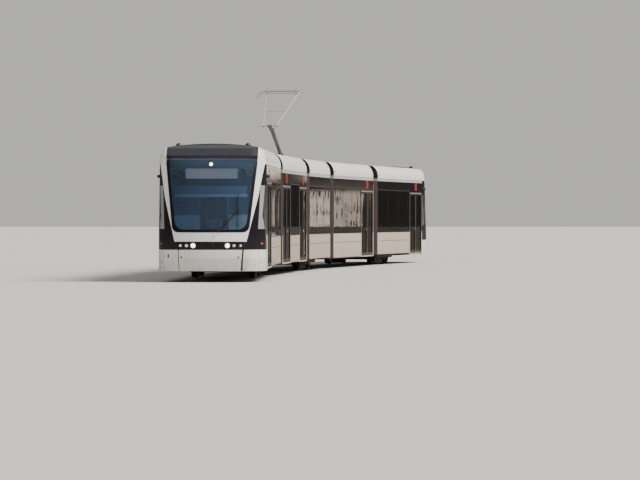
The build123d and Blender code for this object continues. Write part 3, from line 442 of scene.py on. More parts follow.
def stretched(tree, vector, scale):
    """A vector scaled differently along its axes."""
    node = tree.nodes.new("ShaderNodeMapping")
    node.inputs["Scale"].default_value = scale
    tree.links.new(vector, node.inputs["Vector"])
    return node.outputs[0]


def ramp(tree, value, low, high):
    """A value mapped smoothly to 0 at low and 1 at high, clamped."""
    node = tree.nodes.new("ShaderNodeMapRange")
    node.interpolation_type = "SMOOTHSTEP"
    for label, term in (("Value", value), ("From Min", low), ("From Max", high)):
        feed(tree, node.inputs[label], term)
    return node.outputs["Result"]


def split(tree, vector):
    """The three parts of a vector."""
    node = tree.nodes.new("ShaderNodeSeparateXYZ")
    tree.links.new(vector, node.inputs[0])
    return node.outputs


def face_normal(tree):
    """The way a face looks."""
    return tree.nodes.new("ShaderNodeNewGeometry").outputs["Normal"]


def dot_node(tree, first, second):
    """The dot product of two vectors."""
    node = tree.nodes.new("ShaderNodeVectorMath")
    node.operation = "DOT_PRODUCT"
    tree.links.new(first, node.inputs[0])
    if hasattr(second, "node"):
        tree.links.new(second, node.inputs[1])
    else:
        node.inputs[1].default_value = second
    return node.outputs["Value"]


def blend_colours(tree, mask, low, high):
    """A mix of two colours by a mask; each colour is a socket or a triple."""
    node = tree.nodes.new("ShaderNodeMix")
    node.data_type = "RGBA"
    tree.links.new(mask, node.inputs["Factor"])
    feed(tree, node.inputs[6], low)
    feed(tree, node.inputs[7], high)
    return node.outputs[2]


def darker(colour, share):
    """A colour times a share."""
    return tuple(share * part for part in colour)


# Shader node groups
VECTOR_INPUT = ("Vector", "NodeSocketVector", (0, 0, 0))


def build_road_film():
    """Dust and spray that thins out upwards, with runs of rain in it."""
    inputs = [VECTOR_INPUT, ("Clean height", "NodeSocketFloat", 1.3), ("Amount", "NodeSocketFloat", 0.5)]
    group, given, out = group_io("Road film", inputs, ["Mask"])
    fade = ramp(group, split(group, given["Vector"])["Z"], given["Clean height"], 0.15)
    runs = noise_node(group, stretched(group, given["Vector"], (9, 9, 0.5)), 2.2, 4)
    patches = noise_node(group, given["Vector"], 1.7, 5)
    mixed = times(group, ramp(group, runs, 0.35, 0.75), ramp(group, patches, 0.3, 0.7))
    mixed = math_node(group, "ADD", mixed, times(group, fade, 0.55))
    mask = math_node(group, "MULTIPLY", times(group, mixed, fade), given["Amount"], clamp=True)
    group.links.new(mask, out["Mask"])
    return group


def build_grain():
    """Fine grain with slow variation, for paint, plastic, rubber and castings."""
    inputs = [VECTOR_INPUT, ("Scale", "NodeSocketFloat", 300.0)]
    group, given, out = group_io("Grain", inputs, ["Height", "Variation"])
    fine = noise_node(group, given["Vector"], given["Scale"], 2)
    slow = noise_node(group, given["Vector"], times(group, given["Scale"], 0.012), 4)
    group.links.new(fine, out["Height"])
    group.links.new(slow, out["Variation"])
    return group


def build_edge_wear():
    """Rubbed edges, found by comparing the face with a rounded copy of itself."""
    inputs = [VECTOR_INPUT, ("Threshold", "NodeSocketFloat", 0.02)]
    group, given, out = group_io("Edge wear", inputs, ["Mask"])
    bevel = group.nodes.new("ShaderNodeBevel")
    bevel.samples = 4
    bevel.inputs["Radius"].default_value = 0.006
    turned = minus(group, 1.0, dot_node(group, bevel.outputs[0], face_normal(group)))
    broken = math_node(group, "ADD", turned, times(group, noise_node(group, given["Vector"], 40, 4), 0.05))
    high = math_node(group, "ADD", given["Threshold"], 0.08)
    group.links.new(ramp(group, broken, given["Threshold"], high), out["Mask"])
    return group


def build_weave():
    """A plain weave of threads, with its height and a lighter and a darker thread."""
    inputs = [VECTOR_INPUT, ("Threads per metre", "NodeSocketFloat", 700.0)]
    group, given, out = group_io("Weave", inputs, ["Height", "Thread"])
    waves = []
    for axis in "XYZ":
        node = group.nodes.new("ShaderNodeTexWave")
        node.bands_direction = axis
        node.inputs["Distortion"].default_value = 0.4
        group.links.new(given["Threads per metre"], node.inputs["Scale"])
        group.links.new(given["Vector"], node.inputs["Vector"])
        waves.append(node.outputs["Fac"])
    lifted = math_node(group, "MAXIMUM", waves[0], math_node(group, "MAXIMUM", waves[1], waves[2]))
    group.links.new(lifted, out["Height"])
    group.links.new(times(group, waves[0], waves[1]), out["Thread"])
    return group


GROUP_MAKERS = {
    "Road film": build_road_film,
    "Grain": build_grain,
    "Edge wear": build_edge_wear,
    "Weave": build_weave,
}
GROUPS = {}


def use_group(tree, name, **values):
    """A group's node in a tree, built the first time, with values or sockets for its inputs."""
    if name not in GROUPS:
        GROUPS[name] = GROUP_MAKERS[name]()
    node = tree.nodes.new("ShaderNodeGroup")
    node.node_tree = GROUPS[name]
    for label, value in values.items():
        feed(tree, node.inputs[label.replace("_", " ")], value)
    return node.outputs


# Materials
class Finish:
    """A new material with the tram's coordinates and grain; its colour, roughness and relief come after."""

    def __init__(self, name, scale=300.0):
        self.material = bpy.data.materials.new(name)
        self.material.use_nodes = True
        self.tree = self.material.node_tree
        self.shader = self.tree.nodes["Principled BSDF"]
        self.vector = self.tree.nodes.new("ShaderNodeTexCoord").outputs["Object"]
        if scale:
            self.grain = use_group(self.tree, "Grain", Vector=self.vector, Scale=scale)
            self.slow = self.grain["Variation"]

    def film(self, clean_height, amount):
        """The mask of the road film."""
        values = {"Vector": self.vector, "Clean_height": clean_height, "Amount": amount}
        return use_group(self.tree, "Road film", **values)["Mask"]

    def own(self, section):
        """The three coordinates in one section's own frame."""
        node = self.tree.nodes.new("ShaderNodeMapping")
        node.inputs["Rotation"].default_value = (0, 0, -math.radians(HEADINGS[section]))
        node.inputs["Location"].default_value = PLACES[section].inverted().translation
        self.tree.links.new(self.vector, node.inputs["Vector"])
        return split(self.tree, node.outputs[0])

    def blend(self, mask, low, high):
        """Two colours mixed by a mask."""
        return blend_colours(self.tree, mask, low, high)

    def rising(self, value, reach, start):
        """A roughness that rises by a reach with a value."""
        return math_node(self.tree, "MULTIPLY_ADD", value, reach, start)

    def join(self, colour, rough, height, relief, distance=0.001, **plain):
        """Joins colour, roughness and fine relief to the shader and sets its plain values."""
        self.tree.links.new(colour, self.shader.inputs["Base Color"])
        self.tree.links.new(rough, self.shader.inputs["Roughness"])
        for label, value in plain.items():
            self.shader.inputs[label.replace("_", " ")].default_value = value
        node = self.tree.nodes.new("ShaderNodeBump")
        for label, term in (("Strength", relief), ("Distance", distance), ("Height", height)):
            feed(self.tree, node.inputs[label], term)
        self.tree.links.new(node.outputs[0], self.shader.inputs["Normal"])
        return self.material


DUST = (0.23, 0.19, 0.14)
CREAM = (0.575, 0.485, 0.405)
CREAM_SHADE = (0.52, 0.44, 0.36)
WHITE = (0.82, 0.81, 0.775)
WHITE_SHADE = (0.77, 0.755, 0.715)
GLOSS_BLACK = (0.010, 0.010, 0.012)
LINING = (0.55, 0.55, 0.53)
CAB_LINING = (0.08, 0.16, 0.34)
# Painted daylight: the pale colour of the lower part of the cab's rear wall
CAB_LINING_PAINTED_LIGHT = (0.80, 0.82, 0.86)
# Painted shade in the gap between bodies: near black on the roof housings' faces at the gangways, the
# bellows' brown-grey on the walls' end faces, over this depth from each end
ROOF_END_SHADE = (0.030, 0.030, 0.032)
GANGWAY_SHADE_DEPTH = 0.075
WALL_END_SHADE = (0.15, 0.118, 0.105)
SIDE_TINT = (0.16, 0.155, 0.15)
SCREEN_TINT = (0.50, 0.72, 1.0)
CAB_SIDE_TINT = (0.82, 0.85, 0.86)
CAB_SIDE_Y = 1.18
QUARTER_PANE = (0.27, 0.28, 0.285)
QUARTER_EDGE = 1.095
QUARTER_LEAN = 0.045
QUARTER_LOW = 1.28
QUARTER_HIGH = 2.35
# Masks from turned faces: how much of the way they look counts
FACING = 0.6


# How far a surface's roughness varies
ROUGH_SPREAD = 0.12


def surface(
    name, colour, second, rough, metallic=0.0, coat=0.0, scale=300.0, relief=0.05, film=0.0, clean_height=1.3,
    worn=None, dust=DUST,
):
    """A painted, moulded or cast surface with grain, slow variation, road film and rubbed edges."""
    look = Finish(name, scale)
    base = look.blend(look.slow, colour, second or darker(colour, 0.86))
    roughness = look.rising(look.slow, ROUGH_SPREAD, rough - ROUGH_SPREAD / 2)
    if film:
        mask = look.film(clean_height, film)
        base = look.blend(mask, base, dust)
        roughness = math_node(look.tree, "ADD", roughness, times(look.tree, mask, 0.5), clamp=True)
    if worn:
        mask = use_group(look.tree, "Edge wear", Vector=look.vector, Threshold=0.02)["Mask"]
        base = look.blend(mask, base, worn)
    plain = {"Metallic": metallic, "Coat_Weight": coat, "Coat_Roughness": 0.06}
    return look.join(base, roughness, look.grain["Height"], relief, **plain)


def glow(name, colour, strength, rough=0.3):
    """A lit lamp or panel, with slow variation across it."""
    look = Finish(name, 120.0)
    lit = look.blend(look.slow, colour, darker(colour, 0.8))
    look.tree.links.new(lit, look.shader.inputs["Base Color"])
    look.tree.links.new(lit, look.shader.inputs["Emission Color"])
    look.shader.inputs["Emission Strength"].default_value = strength
    look.shader.inputs["Roughness"].default_value = rough
    return look.material


def gangway_ends(look, x, section):
    """1 on the faces of a body that look along it close to its ends at a gangway, and 0 elsewhere: where
    painted shade goes.
    """
    start, end = BODY_SPAN[KINDS[section]]
    near = minus(look.tree, 1.0, above(look.tree, x, start + GANGWAY_SHADE_DEPTH))
    if KINDS[section] != "end":
        near = math_node(look.tree, "MAXIMUM", near, above(look.tree, x, end - GANGWAY_SHADE_DEPTH))
    along = dot_node(look.tree, face_normal(look.tree), PLACES[section].to_3x3().col[0])
    return times(look.tree, near, above(look.tree, size_of(look.tree, along), FACING))


def wall_material(section):
    """Side walls: cream paint below the belt line, gloss black above it, a pale lining inside, and painted
    shade in the bellows' brown-grey on the end faces at the gangways.
    """
    look = Finish(f"side_walls_{section}", 420.0)
    tree = look.tree
    x, y, z = look.own(section)
    film = look.film(1.25, 0.42)
    paint = look.blend(film, look.blend(look.slow, CREAM, CREAM_SHADE), DUST)
    upper = above(tree, z, BELT - 0.001)
    inner = math_node(tree, "LESS_THAN", size_of(tree, y), HALF_WIDTH - WALL / 2)
    lining = times(tree, inner, above(tree, z, SKIRT_TOP))
    colour = look.blend(lining, look.blend(upper, paint, GLOSS_BLACK), LINING)
    # Painted shade: the end faces at the gangways take the bellows' brown-grey
    colour = look.blend(gangway_ends(look, x, section), colour, WALL_END_SHADE)
    rough = times(tree, look.rising(film, 0.45, 0.3), minus(tree, 1.0, times(tree, upper, 0.72)))
    rough = math_node(tree, "MAXIMUM", rough, times(tree, lining, 0.5))
    return look.join(colour, rough, look.grain["Height"], 0.03, Coat_Weight=0.3, Coat_Roughness=0.05)


def housing_material(section):
    """Roof housings: white fairings, grey equipment boxes between them, and near-black painted shade on the
    faces at the gangways.
    """
    look = Finish(f"roof_housings_{section}", 380.0)
    tree = look.tree
    x, y, _ = look.own(section)
    runs = noise_node(tree, stretched(tree, look.vector, (6, 6, 0.8)), 2.0, 4)
    dirty = times(tree, ramp(tree, runs, 0.45, 0.8), 0.28)
    fairing = above(tree, size_of(tree, y), 1.02)
    white = look.blend(look.slow, WHITE, WHITE_SHADE)
    box = look.blend(look.slow, (0.36, 0.37, 0.37), (0.29, 0.30, 0.30))
    colour = look.blend(dirty, look.blend(fairing, box, white), (0.33, 0.29, 0.23))
    # Painted shade: the faces at the gangways are near black
    colour = look.blend(gangway_ends(look, x, section), colour, ROOF_END_SHADE)
    return look.join(colour, look.rising(dirty, 0.6, 0.33), look.grain["Height"], 0.04, Coat_Weight=0.2)


def glass_material(name, tint=SIDE_TINT, section=None):
    """Safety glass, a little wavy and dusty: of one tint, or a cab's clear windows ahead of dark panes."""
    look = Finish(name, None)
    tree = look.tree
    film = look.film(1.7, 0.08)
    colour = tint
    if section:
        x, y, _ = look.own(section)
        beside = above(tree, size_of(tree, y), CAB_SIDE_Y)
        cab = look.blend(beside, SCREEN_TINT, CAB_SIDE_TINT)
        colour = look.blend(above(tree, x, CAB_BACK - 0.005), SIDE_TINT, cab)
    colour = look.blend(film, colour, (0.20, 0.18, 0.15))
    waves = noise_node(tree, stretched(tree, look.vector, (1, 1, 0.35)), 1.6, 1)
    roughness = look.rising(film, 0.25, 0.01)
    return look.join(colour, roughness, waves, 1.0, 0.0012, Transmission_Weight=0.96, IOR=1.5)


def dark_panel_material(section):
    """A cab's dark gloss panels, with the grey glass that carries the side window on to the front pillar."""
    look = Finish(f"cab_dark_panels_{section}")
    tree = look.tree
    _, y, z = look.own(section)
    film = look.film(1.5, 0.2)
    beside = minus(tree, size_of(tree, y), times(tree, z, QUARTER_LEAN))
    level = minus(tree, above(tree, z, QUARTER_LOW), above(tree, z, QUARTER_HIGH))
    pane = times(tree, above(tree, beside, QUARTER_EDGE), level)
    dark = look.blend(look.slow, (0.014, 0.012, 0.018), (0.010, 0.009, 0.013))
    base = look.blend(film, look.blend(pane, dark, QUARTER_PANE), DUST)
    rough = look.rising(film, 0.5, 0.11)
    return look.join(base, rough, look.grain["Height"], 0.015, Coat_Weight=0.6, Coat_Roughness=0.05)


def floor_material():
    """The floor: speckled vinyl on top, pale plastic on the wheel boxes and a dark painted underside."""
    look = Finish("floor", 260.0)
    tree = look.tree
    speckle = ramp(tree, look.grain["Height"], 0.52, 0.62)
    vinyl = look.blend(speckle, (0.085, 0.09, 0.10), (0.22, 0.22, 0.22))
    dark = look.blend(look.slow, (0.035, 0.035, 0.037), (0.075, 0.065, 0.055))
    boxed = above(tree, split(tree, look.vector)["Z"], LOW_FLOOR + FLANGE + 0.1)
    side = look.blend(boxed, dark, (0.42, 0.42, 0.41))
    colour = look.blend(above(tree, split(tree, face_normal(tree))["Z"], 0.5), side, vinyl)
    return look.join(colour, look.rising(look.slow, 0.3, 0.5), look.grain["Height"], 0.15)


def roof_material():
    """The roof plate: pale grey paint outside and a white ceiling inside."""
    look = Finish("roof_plate", 350.0)
    outside = look.blend(look.slow, (0.46, 0.44, 0.41), (0.38, 0.36, 0.33))
    ceiling = math_node(look.tree, "LESS_THAN", split(look.tree, face_normal(look.tree))["Z"], -0.5)
    colour = look.blend(ceiling, outside, (0.72, 0.72, 0.70))
    return look.join(colour, look.rising(look.slow, 0.25, 0.35), look.grain["Height"], 0.06)


def cab_lining_material():
    """The cab's rear wall: blue-grey, with painted daylight that makes its lower part pale."""
    look = Finish("cab_lining", 500.0)
    upper = look.blend(look.slow, CAB_LINING, darker(CAB_LINING, 0.86))
    # Painted daylight: pale below about 1.65 m
    low = ramp(look.tree, split(look.tree, look.vector)["Z"], 1.68, 1.62)
    colour = look.blend(low, upper, CAB_LINING_PAINTED_LIGHT)
    return look.join(colour, look.rising(look.slow, 0.12, 0.5), look.grain["Height"], 0.1)


def wheel_material():
    """Wheels and axles: bright tread and flange, brown sides."""
    look = Finish("wheel_steel", 180.0)
    sideways = above(look.tree, size_of(look.tree, split(look.tree, face_normal(look.tree))["Y"]), FACING)
    rust = look.blend(look.slow, (0.13, 0.085, 0.06), (0.06, 0.045, 0.04))
    look.tree.links.new(minus(look.tree, 1.0, sideways), look.shader.inputs["Metallic"])
    colour = look.blend(sideways, (0.42, 0.41, 0.40), rust)
    return look.join(colour, look.rising(sideways, 0.4, 0.3), look.grain["Height"], 0.12)


def cloth_material():
    """Seat cloth: a plain weave in blue-grey with a darker thread and a soft sheen."""
    look = Finish("seat_cloth", 900.0)
    weave = use_group(look.tree, "Weave", Vector=look.vector)
    base = look.blend(weave["Thread"], (0.09, 0.125, 0.19), (0.17, 0.21, 0.28))
    base = look.blend(look.slow, base, (0.08, 0.105, 0.16))
    rough = look.rising(weave["Height"], 0.15, 0.75)
    return look.join(base, rough, weave["Height"], 0.35, 0.0008, Sheen_Weight=0.35)


def bellows_material():
    """The stiff coated fabric of the gangway hoods, dusty along its folds."""
    look = Finish("bellows_cloth", 240.0)
    weave = use_group(look.tree, "Weave", Vector=look.vector, Threads_per_metre=260.0)
    base = look.blend(look.slow, (0.29, 0.225, 0.20), (0.20, 0.157, 0.14))
    base = look.blend(look.film(2.2, 0.5), base, (0.15, 0.10, 0.07))
    return look.join(base, look.rising(look.slow, 0.2, 0.62), weave["Height"], 0.25, 0.0006)


# Plain finishes: colour, second colour if not a darker one, roughness, and what is not as usual
PALE_WEAR = (0.5, 0.5, 0.5)
DARK_WEAR = (0.3, 0.3, 0.3)
SURFACES = {
    "white_paint": (WHITE, WHITE_SHADE, 0.3, {"coat": 0.4, "scale": 420, "relief": 0.03, "film": 0.42}),
    "black_plastic": ((0.022, 0.022, 0.023), None, 0.5, {"scale": 600, "relief": 0.18}),
    "rubber": ((0.018, 0.018, 0.018), None, 0.75, {"scale": 500, "relief": 0.2, "film": 0.3}),
    "door_grey": ((0.34, 0.33, 0.315), (0.27, 0.26, 0.25), 0.35, {"metallic": 0.35, "film": 0.35}),
    "dark_frame": ((0.03, 0.03, 0.032), None, 0.35, {"relief": 0.08, "film": 0.35}),
    "alloy": ((0.55, 0.55, 0.54), (0.45, 0.45, 0.44), 0.3, {"metallic": 1.0, "relief": 0.04}),
    "steel": ((0.40, 0.39, 0.38), (0.28, 0.26, 0.25), 0.42, {"metallic": 0.9, "scale": 200, "relief": 0.12}),
    "bogie_paint": (
        (0.050, 0.050, 0.052), (0.085, 0.064, 0.050), 0.55,
        {"scale": 140, "relief": 0.25, "film": 0.45, "clean_height": 0.9, "worn": (0.22, 0.20, 0.18),
         "dust": (0.14, 0.11, 0.08)},
    ),
    "grey_box": ((0.34, 0.35, 0.35), (0.27, 0.28, 0.28), 0.45, {"relief": 0.1, "worn": PALE_WEAR}),
    "dark_box": ((0.06, 0.062, 0.065), None, 0.5, {"relief": 0.12, "worn": DARK_WEAR}),
    "panto_paint": ((0.17, 0.175, 0.18), (0.12, 0.12, 0.12), 0.45, {"relief": 0.12, "worn": PALE_WEAR}),
    "carbon": ((0.03, 0.03, 0.03), (0.06, 0.055, 0.05), 0.45, {"scale": 250, "relief": 0.3}),
    "insulator": ((0.19, 0.065, 0.04), (0.14, 0.05, 0.035), 0.25, {"coat": 0.5}),
    "red_mark": ((0.40, 0.022, 0.02), (0.31, 0.018, 0.016), 0.35, {"coat": 0.3}),
    "amber": ((0.50, 0.15, 0.03), (0.40, 0.11, 0.02), 0.2, {"coat": 0.6, "relief": 0.08}),
    "red_lens": ((0.42, 0.02, 0.015), (0.3, 0.015, 0.01), 0.15, {"coat": 0.7, "relief": 0.08}),
    "seat_shell": ((0.30, 0.31, 0.32), (0.26, 0.27, 0.28), 0.42, {"scale": 500, "relief": 0.15}),
    "desk_plastic": ((0.19, 0.20, 0.22), None, 0.55, {"scale": 700, "relief": 0.25}),
    "pole_steel": ((0.62, 0.62, 0.60), (0.5, 0.5, 0.48), 0.25, {"metallic": 0.95, "relief": 0.03}),
    "lining": (LINING, None, 0.5, {"scale": 500, "relief": 0.1}),
    "cream_trim": (CREAM, CREAM_SHADE, 0.35, {"relief": 0.03, "film": 0.42}),
    "border_print": ((0.006, 0.007, 0.012), None, 0.3, {"relief": 0.02}),
    "blind_panel": ((0.17, 0.16, 0.21), None, 0.6, {"scale": 900, "relief": 0.15}),
    "side_blind": ((0.42, 0.45, 0.48), None, 0.6, {"scale": 900, "relief": 0.15}),
    # Dark navy painted shade for the sheets behind the windscreen's upper part
    "cab_header": ((0.028, 0.038, 0.065), None, 0.5, {"scale": 500, "relief": 0.1}),
    "panto_pale": ((0.46, 0.45, 0.42), (0.38, 0.37, 0.34), 0.4, {"relief": 0.1, "worn": DARK_WEAR}),
    "lens_rose": ((0.72, 0.56, 0.53), (0.62, 0.48, 0.46), 0.15, {"coat": 0.7, "relief": 0.06}),
}
# Lit finishes: colour, strength and roughness
GLOWS = {
    "lamp_lit": ((1.0, 0.95, 0.86), 6.0, 0.3),
    "lamp_dim": ((0.95, 0.90, 0.86), 2.0, 0.3),
    "tail_lit": ((0.9, 0.04, 0.02), 2.5, 0.3),
    "display_panel": ((0.40, 0.36, 0.36), 0.42, 0.2),
    "display_field": ((0.50, 0.35, 0.30), 0.42, 0.25),
    "ceiling_light": ((1.0, 0.96, 0.88), 1.6, 0.3),
}
MATERIALS = {}


def build_materials():
    """All finishes, by short name."""
    for name, (colour, second, rough, unusual) in SURFACES.items():
        MATERIALS[name] = surface(name, colour, second, rough, **unusual)
    for name, look in GLOWS.items():
        MATERIALS[name] = glow(name, *look)
    MATERIALS["cab_pane"] = glass_material("cab_pane", (0.10, 0.15, 0.20))
    MATERIALS["lens_glass"] = glass_material("lens_glass", (0.92, 0.94, 0.95))
    MATERIALS["cab_lining"] = cab_lining_material()
    MATERIALS["floor"] = floor_material()
    MATERIALS["roof"] = roof_material()
    MATERIALS["wheel"] = wheel_material()
    MATERIALS["cloth"] = cloth_material()
    MATERIALS["bellows"] = bellows_material()
    for section, kind in KINDS.items():
        cab = section if kind == "end" else None
        MATERIALS[f"walls_{section}"] = wall_material(section)
        MATERIALS[f"housings_{section}"] = housing_material(section)
        MATERIALS[f"glass_{section}"] = glass_material(f"window_glass_{section}", section=cab)
        if cab:
            MATERIALS[f"dark_panels_{section}"] = dark_panel_material(section)


NODE_FINISH = {
    "floor": "floor",
    "walls": "walls_{}",
    "roof": "roof",
    "roof_housings": "housings_{}",
    "glass": "glass_{}",
    "doors": "dark_frame",
    "interior": "seat_shell",
    "cab_front": "white_paint",
    "cab_dark_panels": "dark_panels_{}",
    "cab_fittings": "black_plastic",
    "bogie_frame": "bogie_paint",
}
OTHER_FINISH = {
    "wheelset": "wheel",
    "pantograph_base": "panto_paint",
    "pantograph_lower_arm": "panto_paint",
    "pantograph_upper_arm": "panto_pale",
    "pantograph_rod": "panto_paint",
    "pantograph_head": "panto_pale",
    "bellows": "bellows",
}


def dress_nodes(tram):
    """Builds the materials and gives every CAD node its finish."""
    build_materials()
    for name, obj in frame["nodes"].items():
        if name[0] == "s" and name[1].isdigit():
            finish = NODE_FINISH[name[3:]].format(name[1])
        else:
            finish = next(value for start, value in OTHER_FINISH.items() if name.startswith(start))
        for slot in obj.material_slots:
            slot.material = MATERIALS[finish]


# The stage
CAMERA_PLACE = (80.89, 14.745, 1.54 + FLANGE)
CAMERA_AIM = (-0.9865, -0.1637, -0.0080)
CAMERA_LENS = 152.4
FLOOR_RADIUS = 420.0
FLOOR_CORNERS = 96
SUN_AIM = (-0.05, -0.66, -0.75)
SKY_LOW = (0.74, 0.735, 0.715)
SKY_HIGH = (0.80, 0.83, 0.88)
FLOOR_CARD = (0.065, 0.058, 0.047)
CARD_DARK = (0.030, 0.026, 0.022)
CARD_LIGHT = (0.34, 0.27, 0.22)
CARD_BRIGHT = (1.65, 1.35, 1.14)
# Stretches of the horizon with a bright card, as turns round the tram in radians, and the card's height
BRIGHT_CARDS = ((2.8135, 2.8355), (2.952, 3.012))
CARD_TOP = (0.0115, 0.0085)
# The stretch of the horizon with no pale strips, which the last section's windows mirror
DARK_CARD = (2.735, 2.785)


def aim(obj, direction):
    """Turns a light or camera to look along a direction."""
    obj.rotation_euler = Vector(direction).to_track_quat("-Z", "Y").to_euler()


def build_stage(tram):
    """Pale floor, soft daylight and the camera at the photo's viewing angle."""
    floor = bpy.data.meshes.new("stage_floor")
    turns = [a * math.pi / (FLOOR_CORNERS / 2) for a in range(FLOOR_CORNERS)]
    ring = [(FLOOR_RADIUS * math.cos(a), FLOOR_RADIUS * math.sin(a), 0) for a in turns]
    floor.from_pydata(ring, [], [list(range(FLOOR_CORNERS))])
    ground = bpy.data.objects.new("stage_floor", floor)
    look = Finish("stage_floor", 60.0)
    shade = look.blend(look.slow, tuple(tram.floor_colour), darker(tram.floor_colour, 0.94))
    look.tree.links.new(shade, look.shader.inputs["Base Color"])
    look.shader.inputs["Roughness"].default_value = 0.85
    dim_for_gloss(look.tree, look.shader)
    floor.materials.append(look.material)
    sun_data = bpy.data.lights.new("stage_sun", "SUN")
    sun_data.energy = tram.sun_strength
    sun_data.angle = math.radians(28)
    sun_data.color = (1.0, 0.965, 0.91)
    sun = bpy.data.objects.new("stage_sun", sun_data)
    aim(sun, SUN_AIM)
    camera_data = bpy.data.cameras.new("stage_camera")
    camera_data.lens = CAMERA_LENS
    camera_data.sensor_width = 36
    camera_data.clip_start = 1.0
    camera_data.clip_end = 1800
    camera = bpy.data.objects.new("stage_camera", camera_data)
    camera.location = CAMERA_PLACE
    aim(camera, CAMERA_AIM)
    for obj in (ground, sun, camera):
        bpy.context.scene.collection.objects.link(obj)
    bpy.context.scene.camera = camera
    build_world(tram)


def dim_for_gloss(tree, shader):
    """The floor as reflections see it: a grey card, so that glass and gloss paint keep their depth."""
    card = tree.nodes.new("ShaderNodeBsdfDiffuse")
    card.inputs["Color"].default_value = (*FLOOR_CARD, 1)
    mix = tree.nodes.new("ShaderNodeMixShader")
    tree.links.new(tree.nodes.new("ShaderNodeLightPath").outputs["Is Glossy Ray"], mix.inputs["Fac"])
    tree.links.new(shader.outputs[0], mix.inputs[1])
    tree.links.new(card.outputs[0], mix.inputs[2])
    tree.links.new(mix.outputs[0], tree.nodes["Material Output"].inputs["Surface"])


def in_stretch(tree, turn, stretch):
    """1 within a stretch of the horizon."""
    return minus(tree, above(tree, turn, stretch[0]), above(tree, turn, stretch[1]))


def bright_cards(tree, direction, turn, z):
    """1 where the side windows of the photo mirror bright ground and sky, broken by thin dark uprights."""
    stretches = [in_stretch(tree, turn, stretch) for stretch in BRIGHT_CARDS]
    uprights = noise_node(tree, stretched(tree, direction, (1, 1, 0.3)), 900.0, 1)
    mask = times(tree, math_node(tree, "ADD", *stretches), ramp(tree, uprights, 0.36, 0.46))
    return times(tree, mask, ramp(tree, z, *CARD_TOP))


def build_world(tram):
    """Even sky light, with a dark card and soft upright strips round the horizon for reflections."""
    world = bpy.data.worlds.new("stage_world")
    world.use_nodes = True
    tree = world.node_tree
    background = tree.nodes["Background"]
    direction = tree.nodes.new("ShaderNodeTexCoord").outputs["Generated"]
    x, y, z = split(tree, direction)
    turn = math_node(tree, "ARCTAN2", y, x)
    strips = noise_node(tree, stretched(tree, direction, (1, 1, 0.12)), 80.0, 2)
    card = blend_colours(tree, ramp(tree, strips, 0.52, 0.62), CARD_DARK, CARD_LIGHT)
    card = blend_colours(tree, in_stretch(tree, turn, DARK_CARD), card, CARD_DARK)
    card = blend_colours(tree, bright_cards(tree, direction, turn, z), card, CARD_BRIGHT)
    sky = blend_colours(tree, ramp(tree, z, 0.10, 0.55), SKY_LOW, SKY_HIGH)
    seen = blend_colours(tree, ramp(tree, z, 0.30, 0.95), card, SKY_HIGH)
    glossy = tree.nodes.new("ShaderNodeLightPath").outputs["Is Glossy Ray"]
    tree.links.new(blend_colours(tree, glossy, sky, seen), background.inputs["Color"])
    background.inputs["Strength"].default_value = tram.sky_strength
    bpy.context.scene.world = world


# Where things are on a section's sides
SHORTEST_BAY = 0.2


def bays(kind, side):
    """The stretches of wall between the doorways of one side."""
    start, end = BODY_SPAN[kind]
    stretches = []
    for door in DOORWAYS[kind, side]:
        if door - start > SHORTEST_BAY:
            stretches.append((start, door))
        start = door + DOORWAY
    if end - start > SHORTEST_BAY:
        stretches.append((start, end))
    return stretches


def panes(bay):
    """The panes of a bay, as stretches along the side."""
    start, end = bay[0] + WINDOW_RIM / 2, bay[1] - WINDOW_RIM / 2
    count = max(1, round((end - start) / PANE_LENGTH))
    step = (end - start) / count
    return [(start + i * step, start + (i + 1) * step) for i in range(count)]


def leaf_spans(door):
    """The two leaves of a doorway."""
    left, right = door + DOOR_JAMB + 0.005, door + DOORWAY - DOOR_JAMB - 0.005
    middle = (left + right) / 2
    return [(left, middle - 0.004), (middle + 0.004, right)]


def sides():
    """Both sides of every section: number, kind, side and how the names of its pieces start."""
    hands = {1: "left", -1: "right"}
    return [(n, kind, side, f"s{n}_{hands[side]}_") for n, kind in KINDS.items() for side in (1, -1)]


def side_box(shape, x0, x1, side, y0, y1, z0, z1, edge=0.0):
    """A box between two distances from the middle on one side."""
    shape.box(x0, x1, *sorted((side * y0, side * y1)), z0, z1, edge)


def wall_box(shape, x0, x1, side, depth, proud, z0, z1, edge=0.0):
    """A box on the outer face of a side, from a depth inside the face to a little proud of it."""
    side_box(shape, x0, x1, side, HALF_WIDTH - depth, HALF_WIDTH + proud, z0, z1, edge)


def bars(x0, x1, z0, z1, out, into):
    """The four bars of a frame round an opening, reaching some way out from its edges and into it."""
    return [
        (x0 - out, x0 + into, z0, z1),
        (x1 - into, x1 + out, z0, z1),
        (x0, x1, z0 - out, z0 + into),
        (x0, x1, z1 - into, z1 + out),
    ]


def shoulder_points(inset, count=10):
    """The fairing's curved cross-section as (y, height) points, from its foot to its top edge."""
    lower = Vector((HALF_WIDTH - inset, ROOF_TOP))
    middle = Vector((HALF_WIDTH - 0.042 - inset * 0.93, ROOF_TOP + 0.262 - inset * 0.3))
    upper = Vector((1.13 - inset * 0.35, FAIRING_TOP - inset * 0.94))
    centre, radius = circle_through(lower, middle, upper)
    first = math.atan2(*(lower - centre).yx)
    last = math.atan2(*(upper - centre).yx)
    angles = [first + (last - first) * i / count for i in range(count + 1)]
    return [(centre.x + radius * math.cos(a), centre.y + radius * math.sin(a)) for a in angles]


def circle_through(a, b, c):
    """Centre and radius of the circle through three points of a plane."""
    d = 2 * (a.x * (b.y - c.y) + b.x * (c.y - a.y) + c.x * (a.y - b.y))
    squares = [p.length_squared for p in (a, b, c)]
    x = (squares[0] * (b.y - c.y) + squares[1] * (c.y - a.y) + squares[2] * (a.y - b.y)) / d
    y = (squares[0] * (c.x - b.x) + squares[1] * (a.x - c.x) + squares[2] * (b.x - a.x)) / d
    centre = Vector((x, y))
    return centre, (a - centre).length


